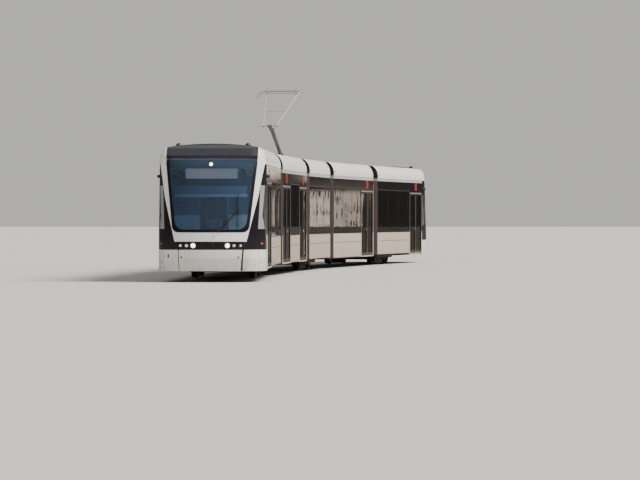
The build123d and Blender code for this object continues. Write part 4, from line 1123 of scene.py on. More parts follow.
# Windows
def build_windows(tram):
    """Seals round and between the panes, and the bright drip rail above them."""
    half = tram.seal_width / 2
    for number, kind, side, prefix in sides():
        seals, rail, tint = shapes(3)
        for bay in bays(kind, side):
            row = panes(bay)
            for x in [pane[0] for pane in row] + [row[-1][1]]:
                upright = (x - half, x + half, side, 0.004, 0.0022, BELT + 0.004, WINDOW_TOP - 0.004)
                wall_box(seals, *upright, 0.0015)
            for z0, z1 in ((BELT - 0.004, BELT + half), (WINDOW_TOP - half, WINDOW_TOP + 0.006)):
                wall_box(seals, row[0][0], row[-1][1], side, 0.004, 0.0022, z0, z1, 0.0015)
            wall_box(rail, *bay, side, 0.001, 0.005, WINDOW_TOP + 0.008, WINDOW_TOP + 0.026, 0.002)
            for left, right in row:
                opening = (left + WINDOW_RIM, right - WINDOW_RIM, BELT + WINDOW_RIM, WINDOW_TOP - WINDOW_RIM)
                inside = side * (HALF_WIDTH - WALL)
                for x0, x1, z0, z1 in bars(*opening, 0.01, 0.012):
                    tint.box(x0, x1, *sorted((inside, inside - side * 0.008)), z0, z1, 0.002)
        make_all(
            prefix, number,
            (seals, "window_seals", "rubber"), (rail, "window_rail", "alloy"),
            (tint, "window_linings", "lining"),
        )


# Doors
def build_doors(tram):
    """Frames, seals, buttons, handles, sills and the red mark above each doorway."""
    half = tram.mark_width / 2
    for number, kind, side, prefix in sides():
        frames, jambs, seals, fittings, marks, sills, rings = shapes(7)
        for door in DOORWAYS[kind, side]:
            middle, end = door + DOORWAY / 2, door + DOORWAY
            door_frame(frames, jambs, door, side, tram.door_frame)
            for left, right in leaf_spans(door):
                leaf_detail(seals, fittings, frames, left, right, side)
            gap = (middle - 0.011, middle + 0.011, side, 0.02, 0.003, DOOR_BOTTOM + 0.01, DOOR_HEAD - 0.01)
            wall_box(seals, *gap, 0.002)
            mark = (middle - half, middle + half, side, 0.001, 0.005, WINDOW_TOP + 0.03, EAVES - 0.012)
            wall_box(marks, *mark, 0.002)
            foot = (door + DOOR_JAMB, end - DOOR_JAMB, side, 0.10, -0.002, DOOR_BOTTOM, DOOR_BOTTOM + 0.022)
            wall_box(sills, *foot, 0.003)
            for i in range(5):
                y = side * (HALF_WIDTH - 0.09 + i * 0.018)
                ridge = (door + 0.1, end - 0.1, y - 0.003, y + 0.003)
                sills.box(*ridge, DOOR_BOTTOM + 0.02, DOOR_BOTTOM + 0.026, 0.001)
            step = (side, HALF_WIDTH - 0.10, HALF_WIDTH - 0.30, LOW_FLOOR, LOW_FLOOR + 0.006)
            side_box(sills, door + 0.07, end - 0.07, *step, 0.002)
            for i in range(10):
                y = side * (HALF_WIDTH - 0.29 + i * 0.02)
                ridge = (door + 0.09, end - 0.09, y - 0.004, y + 0.004)
                sills.box(*ridge, LOW_FLOOR + 0.004, LOW_FLOOR + 0.010, 0.001)
            button_spot(fittings, rings, middle - 0.12, side)
        make_all(
            prefix, number,
            (frames, "door_frames", "door_grey"), (jambs, "door_jambs", "cream_trim"),
            (seals, "door_seals", "rubber"), (fittings, "door_fittings", "alloy"),
            (marks, "door_marks", "red_mark"), (sills, "door_sills", "alloy"),
            (rings, "door_buttons", "lamp_dim"),
        )


def door_frame(frames, jambs, door, side, width):
    """A doorway's bright head, and its painted jambs and sill below the belt line."""
    left, right = door + DOOR_JAMB, door + DOORWAY - DOOR_JAMB
    for x0, x1 in ((left - width, left), (right, right + width)):
        wall_box(jambs, x0, x1, side, 0.003, 0.005, DOOR_BOTTOM, BELT, 0.002)
    wall_box(jambs, left, right, side, 0.003, 0.005, DOOR_BOTTOM, DOOR_BOTTOM + width * 0.7, 0.002)
    wall_box(frames, left, right, side, 0.003, 0.005, DOOR_HEAD, DOOR_HEAD + width * 0.8, 0.002)


def leaf_detail(seals, fittings, frames, left, right, side):
    """A leaf's glass seal, pale edge lines, inside handle and hinge covers."""
    x0, x1 = left + 0.048, right - 0.048
    foot, head = DOOR_BOTTOM + 0.12, DOOR_HEAD - 0.048
    for a, b, c, d in bars(x0, x1, foot, head, 0.006, 0.010):
        wall_box(seals, a, b, side, 0.018, 0.0015, c, d, 0.0015)
    for a, b in ((left + 0.001, left + 0.012), (right - 0.012, right - 0.001)):
        wall_box(frames, a, b, side, 0.002, 0.0025, foot - 0.1, head + 0.04, 0.001)
    y = side * (HALF_WIDTH - 0.045)
    inner = y - side * 0.06
    x = x0 + 0.02 if side > 0 else x1 - 0.02
    fittings.tube([(x, y, 1.0), (x, inner, 1.03), (x, inner, 1.55), (x, y, 1.58)], 0.014, 10)
    for x in (left + 0.1, right - 0.1):
        cover = sorted((y, y - side * 0.018))
        fittings.box(x - 0.05, x + 0.05, *cover, DOOR_HEAD - 0.04, DOOR_HEAD - 0.005, 0.004)


BUTTON_PLATE = [(0.0, 0.0), (0.036, 0.0), (0.036, 0.003), (0.030, 0.005), (0.0, 0.005)]
BUTTON_RING = [(0.024, 0.004), (0.027, 0.0055), (0.029, 0.0045), (0.0285, 0.003), (0.024, 0.003)]
BUTTON_HEIGHT = 1.18


def button_spot(fittings, rings, x, side):
    """A round door button with its lit ring on the leaf."""
    centre = (x, side * HALF_WIDTH, BUTTON_HEIGHT)
    fittings.lathe(centre, (0, side, 0), BUTTON_PLATE, 24)
    rings.lathe(centre, (0, side, 0), BUTTON_RING, 24, ring=True)


# Lower panels: upright seams and locks of the hatches along each kind of section
HATCH_SEAMS = {"end": [0.92, 2.66, 4.47], "hung": [], "middle": []}
LATCHES = {"end": [1.70, 3.87], "hung": [], "middle": [-0.72, 0.0, 0.75]}
LATCH_HEIGHT = 0.86
HATCH_INSET = {"end": 0.0, "hung": 0.03, "middle": 0.18}
PANEL_BOTTOM = {"end": 0.334, "hung": 0.306, "middle": 0.334}
PANEL_LOCK = [(0.0, 0), (0.013, 0), (0.013, 0.0015), (0.010, 0.003), (0.0, 0.003)]


def build_side_panels(tram):
    """Hatch lines, upright seams, locks and edge trims of the painted panels below the windows."""
    half = tram.seam_width / 2
    for number, kind, side, prefix in sides():
        seams, locks, trims = shapes(3)
        bottom, uprights = PANEL_BOTTOM[kind], HATCH_SEAMS[kind]
        for bay in bays(kind, side):
            wall_box(trims, *bay, side, 0.003, 0.004, bottom, bottom + 0.014, 0.002)
            wall_box(seams, *bay, side, 0.001, 0.0018, BELT - 0.012, BELT - 0.004)
            left, right = bay[0] + HATCH_INSET[kind], bay[1] - HATCH_INSET[kind]
            if uprights:
                left, right = uprights[0], uprights[-1]
            wall_box(seams, left, right, side, 0.001, 0.0015, SKIRT_TOP - half, SKIRT_TOP + half)
        for x in uprights:
            wall_box(seams, x - half / 2, x + half / 2, side, 0.002, 0.0012, bottom + 0.002, SKIRT_TOP)
        for x in LATCHES[kind]:
            face = side * HALF_WIDTH
            locks.lathe((x, face, LATCH_HEIGHT), (0, side, 0), PANEL_LOCK, 16)
            slot = sorted((face + side * 0.002, face + side * 0.0045))
            locks.box(x - 0.008, x + 0.008, *slot, LATCH_HEIGHT - 0.0018, LATCH_HEIGHT + 0.0018, 0.0005)
        make_all(
            prefix, number,
            (seams, "panel_seams", "rubber"), (trims, "panel_trims", "door_grey"),
            (locks, "panel_locks", "dark_box"),
        )


# Roof fairings
FAIRING_LOCK = [(0, -0.0006), (0.028, -0.0006), (0.030, 0.0002), (0.030, 0.003), (0.024, 0.004), (0, 0.004)]
LOCK_PLACES = (0.08, 0.5, 0.92)


def build_fairings(tram):
    """Seams, locks, end trims and lips of the curved roof fairings."""
    for number, kind in KINDS.items():
        seams, locks, trims, lips = shapes(4)
        start, end = BODY_SPAN[kind]
        start += 0.02
        gangways = [start]
        if kind != "end":
            end -= 0.02
            gangways.append(end)
        count = max(2, round((end - start) / tram.fairing_length))
        step = (end - start) / count
        for side in (1, -1):
            for i in range(1, count):
                fairing_strip(seams, start + i * step, 0.006, side, 0.0004)
            y, z = shoulder_points(0, 20)[4]
            for i in range(count):
                for share in LOCK_PLACES:
                    locks.lathe((start + (i + share) * step, side * y, z), (0, -side, 0), FAIRING_LOCK, 16)
            for edge, inward in zip(gangways, (1, -1)):
                fairing_strip(trims, edge + inward * 0.012, 0.022, side, 0.0005)
            y, z = shoulder_points(0.03, 4)[-1]
            lip = (side * (y + 0.008), z + 0.012)
            lips.tube([(start, *lip), (end, *lip)], 0.012, 8)
            for z0, z1 in ((ROOF_TOP - 0.006, ROOF_TOP + 0.004), (EAVES - 0.004, EAVES + 0.008)):
                wall_box(lips, start, end, side, 0.004, 0.004, z0, z1, 0.002)
        make_all(
            f"s{number}_fairing_", number,
            (seams, "seams", "rubber"), (locks, "locks", "rubber"), (trims, "trims", "alloy"),
            (lips, "lips", "door_grey"),
        )


def fairing_strip(shape, x, width, side, proud):
    """A strip that follows the fairing's curve."""
    across = (-width / 2, width / 2)
    faces = [
        [[(x + dx, side * y, z) for dx in across] for y, z in shoulder_points(inset, 14)]
        for inset in (-proud, 0.002)
    ]
    shape.slab(*faces)


# Cab, outside. Places seen from the front are (y, height), found on the nose by casting rays along the tram.
SCREEN_FOOT = 0.95
SCREEN_SIDE = [(1.08, 2.53), (1.13, 3.0)]
SCREEN_BOTTOM = 1.20
LAMPS = [(0.42, 0.070), (0.582, 0.048), (0.739, 0.042)]
LAMP_HEIGHT = 0.875
MARKER_HEIGHT = 2.863
WIPER_PIVOT = (0.10, 1.12)
WIPER_ELBOW = (0.69, 1.75)
WIPER_BLADE = (0.675, 1.26, 2.15)
CAMERA_PLACE_X = END_LENGTH - 1.09
CAMERA_HEIGHT = 2.58
DISPLAY = (0.66, 2.494, 2.784)
CABS = (1, 5)
NOSE_RADIUS = 2.85
# Joints of the bumper's middle: side, half width, place across at the top and at the bottom
BUMPER_JOINTS = [(1, 0.019, 0.800, 0.757), (-1, 0.006, 0.790, 0.775)]
BUMPER_SPAN = (0.262, 0.770)
BUMPER_PLUGS = ((-0.71, 0.59), (0.68, 0.59), (1.22, 0.47), (-1.22, 0.47))
# The cab's side window from the partition forwards, as (reach, height)
SIDE_WINDOW = [(0.04, 1.25), (0.70, 1.25), (0.80, 1.60), (0.56, 2.38), (0.04, 2.38)]
# Turned parts of the lamps, as (share of the lamp's radius, depth), and of the rest, as (radius, depth)
LAMP_RIM = [(0.84, 0), (0.97, -0.001), (0.99, 0.003), (0.99, 0.05), (0.84, 0.05)]
LAMP_BULB = [(0.0, 0.012), (0.5, 0.014), (0.85, 0.020), (1.0, 0.028), (0.8, 0.034), (0.0, 0.035)]
LAMP_BACK = [(0.0, 0.038), (0.82, 0.030), (0.82, 0.045), (0.0, 0.045)]
LAMP_LENS = [(0.0, -0.0035), (0.4, -0.003), (0.7, -0.0015), (0.83, 0.0015), (0.83, 0.004), (0.0, 0.004)]
SENSOR = [(0.0, -0.004), (0.018, -0.004), (0.018, 0.002), (0.013, 0.004), (0.012, 0.002), (0.0, 0.003)]
MARKER_RIM = [(0.0, -0.001), (0.050, -0.001), (0.050, 0.004), (0.044, 0.008), (0.038, 0.006), (0.0, 0.005)]
MARKER_LENS = [(0.0, 0.004), (0.038, 0.005), (0.036, 0.010), (0.020, 0.014), (0.0, 0.015)]
WIPER_CAP = [(0, -0.02), (0.030, -0.02), (0.030, 0.006), (0.024, 0.016), (0.016, 0.050), (0, 0.052)]
WIPER_NUT = [(0, -0.022), (0.013, -0.022), (0.015, -0.004), (0.015, 0.008), (0.010, 0.012), (0, 0.012)]
CAMERA_RIM = [(0.0, -0.01), (0.021, -0.01), (0.021, 0.006), (0.016, 0.009), (0.016, 0.004), (0.0, 0.004)]
CAMERA_LENS_FORM = [(0.0, 0.003), (0.015, 0.003), (0.014, 0.006), (0.008, 0.0085), (0.0, 0.009)]
PLUG = [(0, -0.004), (0.022, -0.004), (0.022, 0.001), (0.017, 0.0025), (0.013, 0.001), (0, 0.001)]
DOME = [
    (0, -0.03), (0.078, -0.03), (0.078, 0.004), (0.070, 0.010), (0.064, 0.030), (0.050, 0.052),
    (0.028, 0.066), (0, 0.070),
]


def nose_skin(number):
    """Everything that shows on the outside of a cab."""
    return skin(number, "cab_front", "cab_dark_panels", "glass")


def from_front(tree, y, z):
    """Where a place seen from the front is on the nose, and the surface's normal there."""
    return cast(tree, (END_LENGTH + 0.5, y, z), AHEAD)


def on_nose(tree, y, z, away=0.0):
    """The point of the nose behind a place seen from the front, moved a little outwards."""
    spot, normal = from_front(tree, y, z)
    return spot + normal * away


def bumper_face(y, z, away):
    """The bumper's face behind a place seen from the front, also where a ray would fall into a seam."""
    setback = 0.006 + 0.074 * max(0.0, (0.56 - z) / 0.31)
    return Vector((END_LENGTH - setback - NOSE_RADIUS + math.sqrt(NOSE_RADIUS**2 - y * y) + away, y, z))


def screen_outline(inset, radius):
    """The left half of the windscreen's outline, drawn in by an inset, as (y, height) from the bottom up."""
    foot, low = SCREEN_FOOT - inset, SCREEN_BOTTOM + inset
    points = [((foot - radius) * i / 14, low) for i in range(15)]
    lean = math.radians(84)
    for i in range(1, 11):
        turn = lean * i / 10
        points.append((foot - radius + radius * math.sin(turn), low + radius - radius * math.cos(turn)))
    for y, z in SCREEN_SIDE:
        y0, z0 = points[-1]
        top = z - (0.012 if z == SCREEN_SIDE[-1][1] else 0)
        points += [(y0 + (y - inset - y0) * i / 14, z0 + (top - z0) * i / 14) for i in range(1, 15)]
    return points


def build_cab_glass(tram):
    """The black border printed round the windscreen, and its seal."""
    for number in CABS:
        tree = nose_skin(number)
        border, seal = shapes(2)
        outer, inner = screen_outline(0.004, 0.165), screen_outline(tram.frit_width, 0.22)
        for side in (1, -1):
            top, bottom = [], []
            for row in range(5):
                share = row / 4
                line = [
                    (a[0] + (b[0] - a[0]) * share, a[1] + (b[1] - a[1]) * share) for a, b in zip(outer, inner)
                ]
                top.append([on_nose(tree, side * y, z, 0.0009) for y, z in line])
                bottom.append([on_nose(tree, side * y, z, -0.0004) for y, z in line])
            border.slab(top, bottom)
        rim = [on_nose(tree, y, z, 0.001) for y, z in screen_outline(0.0, 0.16)[:-2]]
        mirrored = [Vector((point.x, -point.y, point.z)) for point in rim]
        seal.tube(mirrored[::-1] + rim[1:], 0.005, 8)
        rows = ((border, "border", "border_print"), (seal, "seal", "rubber"))
        make_all(f"s{number}_windscreen_", number, *rows)


def build_front_lamps(tram):
    """Head lamps, tail lamps, side lamps and the marker lamp, each with its bezel, reflector and lens."""
    for number in CABS:
        lead = number == 1
        tree, old = nose_skin(number), skin(number, "cab_fittings")
        bezels, bowls, lit, dim, red, lenses, amber, rose, sensors = shapes(9)

        def scaled(profile, radius):
            """A profile in shares of a lamp's radius, for a lamp of one radius."""
            return [(radius * share, depth) for share, depth in profile]

        for side in (1, -1):
            for index, (y, radius) in enumerate(LAMPS):
                centre = (from_front(old, side * y, LAMP_HEIGHT)[0].x, side * y, LAMP_HEIGHT)
                bezels.lathe(centre, AHEAD, scaled(LAMP_RIM, radius), 40, ring=True)
                bowl = [(radius * (0.84 - 0.62 * (i / 8) ** 1.6), 0.006 + 0.046 * i / 8) for i in range(9)]
                shell = [(radius * 0.9, 0.006), (radius * 0.9, 0.060), (0.0, 0.060)]
                bowls.lathe(centre, AHEAD, [(0.0, 0.054)] + bowl[::-1] + shell, 40)
                glowing = lit if index == 0 and lead else red if index and not lead else dim
                reach = 0.60 if glowing is lit else 0.42
                glowing.lathe(centre, AHEAD, scaled(LAMP_BULB, radius * reach), 24)
                if index:
                    rose.lathe(centre, AHEAD, scaled(LAMP_BACK, radius), 32)
                    lenses.lathe(centre, AHEAD, scaled(LAMP_LENS, radius), 40)
            spot, normal = from_front(tree, side * 0.83, LAMP_HEIGHT)
            sensors.lathe(spot, normal, SENSOR, 24)
            start = (END_LENGTH - 0.46, side * 2.0, 0.92)
            sensors.patch(tree, start, (0, -side, 0), ALONG, (0.060, 0.030), 0.005, 8)
            amber.patch(tree, start, (0, -side, 0), ALONG, (0.048, 0.021), 0.012, 8)
        spot, normal = from_front(tree, 0.0, MARKER_HEIGHT)
        bezels.lathe(spot, normal, MARKER_RIM, 32)
        (lit if lead else red).lathe(spot, normal, MARKER_LENS, 32)
        make_all(
            f"s{number}_lamp_", number,
            (bezels, "bezels", "alloy"), (bowls, "reflectors", "alloy"), (dim, "bulbs", "lamp_dim"),
            (lenses, "lenses", "lens_glass"), (rose, "backs", "lens_rose"),
            replaces=f"s{number}_cab_fittings",
        )
        make_all(
            f"s{number}_", number,
            (amber, "side_lamps", "amber"), (sensors, "front_sensors", "black_plastic"),
            (lit, "lamps_lit", "lamp_lit"), (red, "tail_lamps", "tail_lit"),
        )


def build_wipers(tram):
    """The twin-rod wiper: its housing, rods, yoke and blade."""
    for number in CABS:
        tree = nose_skin(number)
        rods, blade, cap = shapes(3)
        beside = on_nose(tree, WIPER_PIVOT[0], WIPER_PIVOT[1] + 0.03)
        pivot, elbow = Vector((beside.x, *WIPER_PIVOT)), on_nose(tree, *WIPER_ELBOW)
        cap.lathe(pivot, ALONG, WIPER_CAP, 32)
        along = (elbow - pivot).normalized()
        sideways = along.cross(ALONG).normalized() * 0.021
        low, high = (pivot + ALONG * 0.045).lerp(elbow + ALONG * 0.048, 0.15), elbow + ALONG * 0.048
        for step in (-1, 1):
            path = [low + sideways * step, low + along * 0.1 + sideways * step, high + sideways * step * 0.8]
            rods.tube(path, 0.0115, 10)
        for share in (0.02, 0.5, 0.99):
            middle = low.lerp(high, share)
            rods.tube([middle - sideways * 1.1, middle + sideways * 1.1], 0.009, 8)
        rods.lathe(high, ALONG, WIPER_NUT, 20)
        y, foot, top = WIPER_BLADE
        count = 24
        spine = [on_nose(tree, y, foot + (top - foot) * i / count) for i in range(count + 1)]
        blade.tube([point + ALONG * 0.030 for point in spine], 0.0085, 8)
        blade.tube([point + ALONG * 0.0135 for point in spine], [0.004] + [0.0075] * (count - 1) + [0.004], 8)
        for i in (4, 12, 20):
            x, y, z = spine[i]
            rods.box(x + 0.018, x + 0.044, y - 0.012, y + 0.012, z - 0.03, z + 0.03, 0.004)
        make_all(
            f"s{number}_wiper_", number,
            (rods, "arm", "black_plastic"), (blade, "blade", "rubber"), (cap, "cap", "white_paint"),
            replaces=f"s{number}_cab_fittings",
        )


def build_view_cameras(tram):
    """The rear-view camera arms: a shaped pod on a foot, with its lens looking back."""
    rows, around = 15, 24
    for number in CABS:
        pods, lenses = shapes(2)
        for side in (1, -1):
            rings = []
            for i in range(rows):
                share = i / (rows - 1)
                round_off = 1 - max(0, share - 0.8) ** 2 * 12
                half_x = 0.058 * (1 - 0.25 * share) * round_off
                half_z = 0.043 * (1 - 0.20 * share) * round_off
                rings.append([])
                for k in range(around):
                    turn = 2 * math.pi * k / around
                    cos, sin = math.cos(turn), math.sin(turn)
                    rings[-1].append((
                        CAMERA_PLACE_X + half_x * math.copysign(abs(cos) ** 0.6, cos),
                        side * (HALF_WIDTH - 0.006 + 0.078 * share),
                        CAMERA_HEIGHT + half_z * math.copysign(abs(sin) ** 0.6, sin),
                    ))
            pods.grid(rings, closed=True)
            start = len(pods.points)
            pods.faces.append([start - around + k for k in range(around)])
            pods.faces.append([start - around * rows + k for k in range(around)][::-1])
            foot = (CAMERA_PLACE_X - 0.075, CAMERA_PLACE_X + 0.075, side, 0.004, 0.008, 2.525, 2.635)
            wall_box(pods, *foot, 0.006)
            centre = (CAMERA_PLACE_X - 0.046, side * (HALF_WIDTH + 0.045), CAMERA_HEIGHT)
            pods.lathe(centre, AHEAD, CAMERA_RIM, 24)
            lenses.lathe(centre, AHEAD, CAMERA_LENS_FORM, 24)
        make_all(
            f"s{number}_camera_", number, (pods, "pods", "black_plastic"), (lenses, "lenses", "lens_glass"),
            replaces=f"s{number}_cab_fittings",
        )


def build_displays(tram):
    """The destination display behind the windscreen, bare, in its housing."""
    half, low, high = DISPLAY
    rim = 0.022
    for number in CABS:
        front = cast(skin(number, "cab_fittings"), (END_LENGTH + 0.3, 0.0, (low + high) / 2), AHEAD)[0].x
        case, field, panel = shapes(3)
        case.box(front - 0.058, front - 0.012, -half, half, low, high, 0.008)
        for z0, z1 in ((low, low + rim), (high - rim, high)):
            case.box(front - 0.02, front, -half, half, z0, z1, 0.004)
        for y0, y1 in ((-half, -half + rim), (half - rim, half)):
            case.box(front - 0.02, front, y0, y1, low, high, 0.004)
        for i in range(7):
            y = -half + 0.15 + i * (2 * half - 0.3) / 6
            case.box(front - 0.064, front - 0.056, y - 0.05, y + 0.05, low + 0.04, high - 0.04, 0.003)
        field.box(front - 0.014, front - 0.006, -half + rim, half - rim, low + rim, high - rim, 0.001)
        panel.box(front - 0.010, front - 0.004, -0.55, 0.53, low + 0.035, high - 0.035, 0.001)
        make_all(
            f"s{number}_display_", number,
            (case, "case", "black_plastic"), (field, "field", "display_panel"),
            (panel, "panel", "display_field"),
            replaces=f"s{number}_cab_fittings",
        )


def build_cab_trims(tram):
    """Bumper seams, tow cover, plugs, side-window seals and aerial domes of each cab."""
    low, high = BUMPER_SPAN
    for number in CABS:
        tree = nose_skin(number)
        seams, plugs, domes, trims, joint = shapes(5)
        lines = [[(y, 0.30 + i * 0.046) for i in range(11)] for y in (-1.17, 1.17)]
        lines.append([(-1.12 + i * 0.16, 0.968) for i in range(15)])
        for line in lines:
            seams.tube([on_nose(tree, y, z) for y, z in line], 0.003, 6)
        for side, half, top_y, low_y in BUMPER_JOINTS:
            rows = []
            for away in (0.0025, -0.004):
                rows.append([])
                for i in range(12):
                    z = low + i * (high - low) / 11
                    y = side * (low_y + (top_y - low_y) * i / 11)
                    rows[-1].append([bumper_face(y + step, z, away) for step in (-half, 0, half)])
            joint.slab(*rows)
        for y, z in BUMPER_PLUGS:
            plugs.lathe(*from_front(tree, y, z), PLUG, 24)
        plugs.patch(tree, (END_LENGTH + 0.5, -1.04, 0.62), AHEAD, (0, 1, 0), (0.018, 0.042), 0.002, 6)
        for side in (1, -1):
            domes.lathe(cast(tree, (END_LENGTH - 1.08, side * 0.86, 4.0), (0, 0, -1))[0], UP, DOME, 32)
            path = []
            for (x0, z0), (x1, z1) in zip(SIDE_WINDOW, SIDE_WINDOW[1:] + SIDE_WINDOW[:1]):
                steps = max(2, int(math.hypot(x1 - x0, z1 - z0) / 0.08))
                for i in range(steps):
                    x, z = x0 + (x1 - x0) * i / steps, z0 + (z1 - z0) * i / steps
                    path.append(cast(tree, (CAB_BACK + x, side * 2, z), (0, -side, 0))[0])
            trims.tube(path + path[:1], 0.007, 8)
        make_all(
            f"s{number}_", number,
            (seams, "bumper_seams", "rubber"), (joint, "bumper_joints", "black_plastic"),
            (plugs, "bumper_plugs", "black_plastic"), (domes, "aerial_domes", "black_plastic"),
            (trims, "side_window_seals", "rubber"),
        )


# Inside. Seats as (place, facing) on a wheel box, and (place, facing, side or 0 for both) on a low floor.
INNER_FACE = HALF_WIDTH - WALL
SEAT_WIDTH = 0.56
SEAT_GAP = 0.02
BOX_SEATS = [(-1.25, 1), (-0.045, -1), (0.045, 1), (1.25, -1)]
FLOOR_SEATS = [(-0.80, 1, 0), (0.80, -1, 0), (-2.50, 1, -1), (-1.60, -1, -1)]
PEDESTAL = 0.27
# The seat's side view from its front edge to the top of its back, as (reach, height)
SEAT_CURVE = [
    (0.405, 0.150), (0.385, 0.128), (0.30, 0.118), (0.16, 0.112), (0.085, 0.125), (0.048, 0.17),
    (0.022, 0.30), (-0.004, 0.46), (-0.026, 0.60), (-0.032, 0.632),
]
POLES = {
    "end": [(4.5, 0.5), (4.5, -0.5), (6.38, 0.7), (6.38, -0.7)],
    "middle": [(0, 0.56), (0, -0.56)],
    "hung": [(-1.1, 0.5), (-1.1, -0.5), (1.1, 0.5), (1.1, -0.5)],
}
STOP_BUTTON = [(0, 0.027), (0.014, 0.027), (0.014, 0.030), (0.009, 0.033), (0, 0.033)]
RAIL_HEIGHT = 2.33


def seat_places(kind):
    """Every seat of a kind of section: x, side, facing and the height of its base."""
    if kind == "hung":
        rows = [(x, side, facing) for side in (1, -1) for x, facing, only in FLOOR_SEATS if only in (0, side)]
        return [(*row, LOW_FLOOR + PEDESTAL) for row in rows]
    centre = BOGIE_CENTRE[kind]
    return [(centre + x, side, facing, WHEEL_BOX_TOP) for side in (1, -1) for x, facing in BOX_SEATS]


def build_seats(tram):
    """Moulded seat shells on their pedestals, with a cloth pad on seat and back and a grab handle on top."""
    for number, kind in KINDS.items():
        shells, rails, pads = shapes(3)
        for x, side, facing, base in seat_places(kind):
            y0 = side * (INNER_FACE - SEAT_GAP - SEAT_WIDTH + 0.015)
            y1 = side * (INNER_FACE - SEAT_GAP - 0.015)
            seat_shell(shells, x, facing, base, y0, y1)
            seat_pads(pads, x, facing, base, y0, y1)
            low = LOW_FLOOR if kind == "hung" else base
            px = x + facing * 0.21
            across = (min(y0, y1) + 0.09, max(y0, y1) - 0.09)
            shells.box(px - 0.13, px + 0.13, *across, low, base + 0.112, 0.012)
            inner = side * (INNER_FACE - SEAT_GAP - SEAT_WIDTH + 0.03)
            back = x - facing * 0.02
            handle = [(0, 0, 0.42), (0.004, 0, 0.60), (0.01, 0.03, 0.625), (0.01, 0.14, 0.628)]
            rails.tube([(back - facing * a, inner + side * b, base + c) for a, b, c in handle], 0.011, 10)
        shell = shells.make(f"s{number}_seat_shells", number, "seat_shell", bevel=0.003)
        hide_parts(f"s{number}_interior")
        rails.make(f"s{number}_seat_handles", number, "pole_steel")
        pads.make(f"s{number}_seat_pads", number, "cloth", smooth=1.2)


def square_to(tangent):
    """The direction square to one in the seat's side view."""
    return Vector((tangent.y, -tangent.x))


def seat_shell(shape, x, facing, base, y0, y1):
    """The moulded shell: a bent sheet with rolled side edges."""
    rows_top, rows_bottom = [], []
    last = len(SEAT_CURVE) - 1
    for i, (dx, dz) in enumerate(SEAT_CURVE):
        after, before = SEAT_CURVE[min(i + 1, last)], SEAT_CURVE[max(i - 1, 0)]
        normal = square_to(Vector((after[0] - before[0], after[1] - before[1])).normalized())
        top, bottom = [], []
        for k in range(9):
            y = y0 + (y1 - y0) * k / 8
            point = Vector((dx, dz)) + normal * (0.030 * abs(2 * k / 8 - 1) ** 5)
            under = point - normal * 0.012
            top.append((x + facing * point.x, y, base + point.y))
            bottom.append((x + facing * under.x, y, base + under.y))
        rows_top.append(top)
        rows_bottom.append(bottom)
    shape.slab(rows_top, rows_bottom)


def seat_pads(shape, x, facing, base, y0, y1):
    """The two upholstered pads, crowned, with a welt round the edge and two sewn lines."""
    curve = [Vector(point) for point in SEAT_CURVE]
    for first, last in ((0.4, 3.6), (5.4, 8.6)):
        top, bottom = [], []
        for i in range(13):
            place = first + (last - first) * i / 12
            low = int(place)
            following = curve[min(low + 1, len(curve) - 1)]
            point = curve[low].lerp(following, place - low)
            normal = square_to((following - curve[low]).normalized())
            v = 2 * i / 12 - 1
            top.append([])
            bottom.append([])
            for k in range(13):
                u = 2 * k / 12 - 1
                y = y0 + (y1 - y0) * (0.5 + 0.43 * u)
                crown = 0.022 * (1 - u**4) ** 0.5 * (1 - v**4) ** 0.5
                crown -= 0.004 * math.exp(-((abs(u) - 0.5) / 0.06) ** 2) * (1 - v**4)
                for row, rise in ((top[-1], 0.003 + crown), (bottom[-1], 0.001)):
                    spot = point + normal * rise
                    row.append((x + facing * spot.x, y, base + spot.y))
        shape.slab(top, bottom)


def build_poles(tram):
    """Grab poles with feet, ceiling flanges, stop buttons, and the rails under the ceiling."""
    for number, kind in KINDS.items():
        poles, buttons, boxes = shapes(3)
        for x, y in POLES[kind]:
            foot = LOW_FLOOR if kind == "hung" or abs(x - BOGIE_CENTRE[kind]) > 1.3 else BOGIE_FLOOR
            pole = [(0.045, foot), (0.045, foot + 0.006), (0.020, foot + 0.012), (0.017, foot + 0.02)]
            pole += [(0.017, EAVES - 0.02), (0.020, EAVES - 0.012), (0.045, EAVES - 0.006), (0.045, EAVES)]
            poles.lathe((x, y, 0), UP, pole, 20)
            boxes.block(x, 0.028, y, 0.026, 1.52, 1.64, 0.008)
            for face in (1, -1):
                buttons.lathe((x, y, 1.58), (face, 0, 0), STOP_BUTTON, 16)
        start, end = BODY_SPAN[kind]
        for side in (1, -1):
            y = side * (0.7 if kind == "end" else 0.62)
            path = [(start + 0.35, y, EAVES - 0.002), (start + 0.38, y, RAIL_HEIGHT)]
            path += [(end - 0.42, y, RAIL_HEIGHT), (end - 0.39, y, EAVES - 0.002)]
            poles.tube(path, 0.015, 10)
        make_all(f"s{number}_", number, (poles, "grab_poles", "pole_steel"), replaces=f"s{number}_interior")
        make_all(
            f"s{number}_", number,
            (boxes, "stop_boxes", "black_plastic"), (buttons, "stop_buttons", "red_lens"),
        )


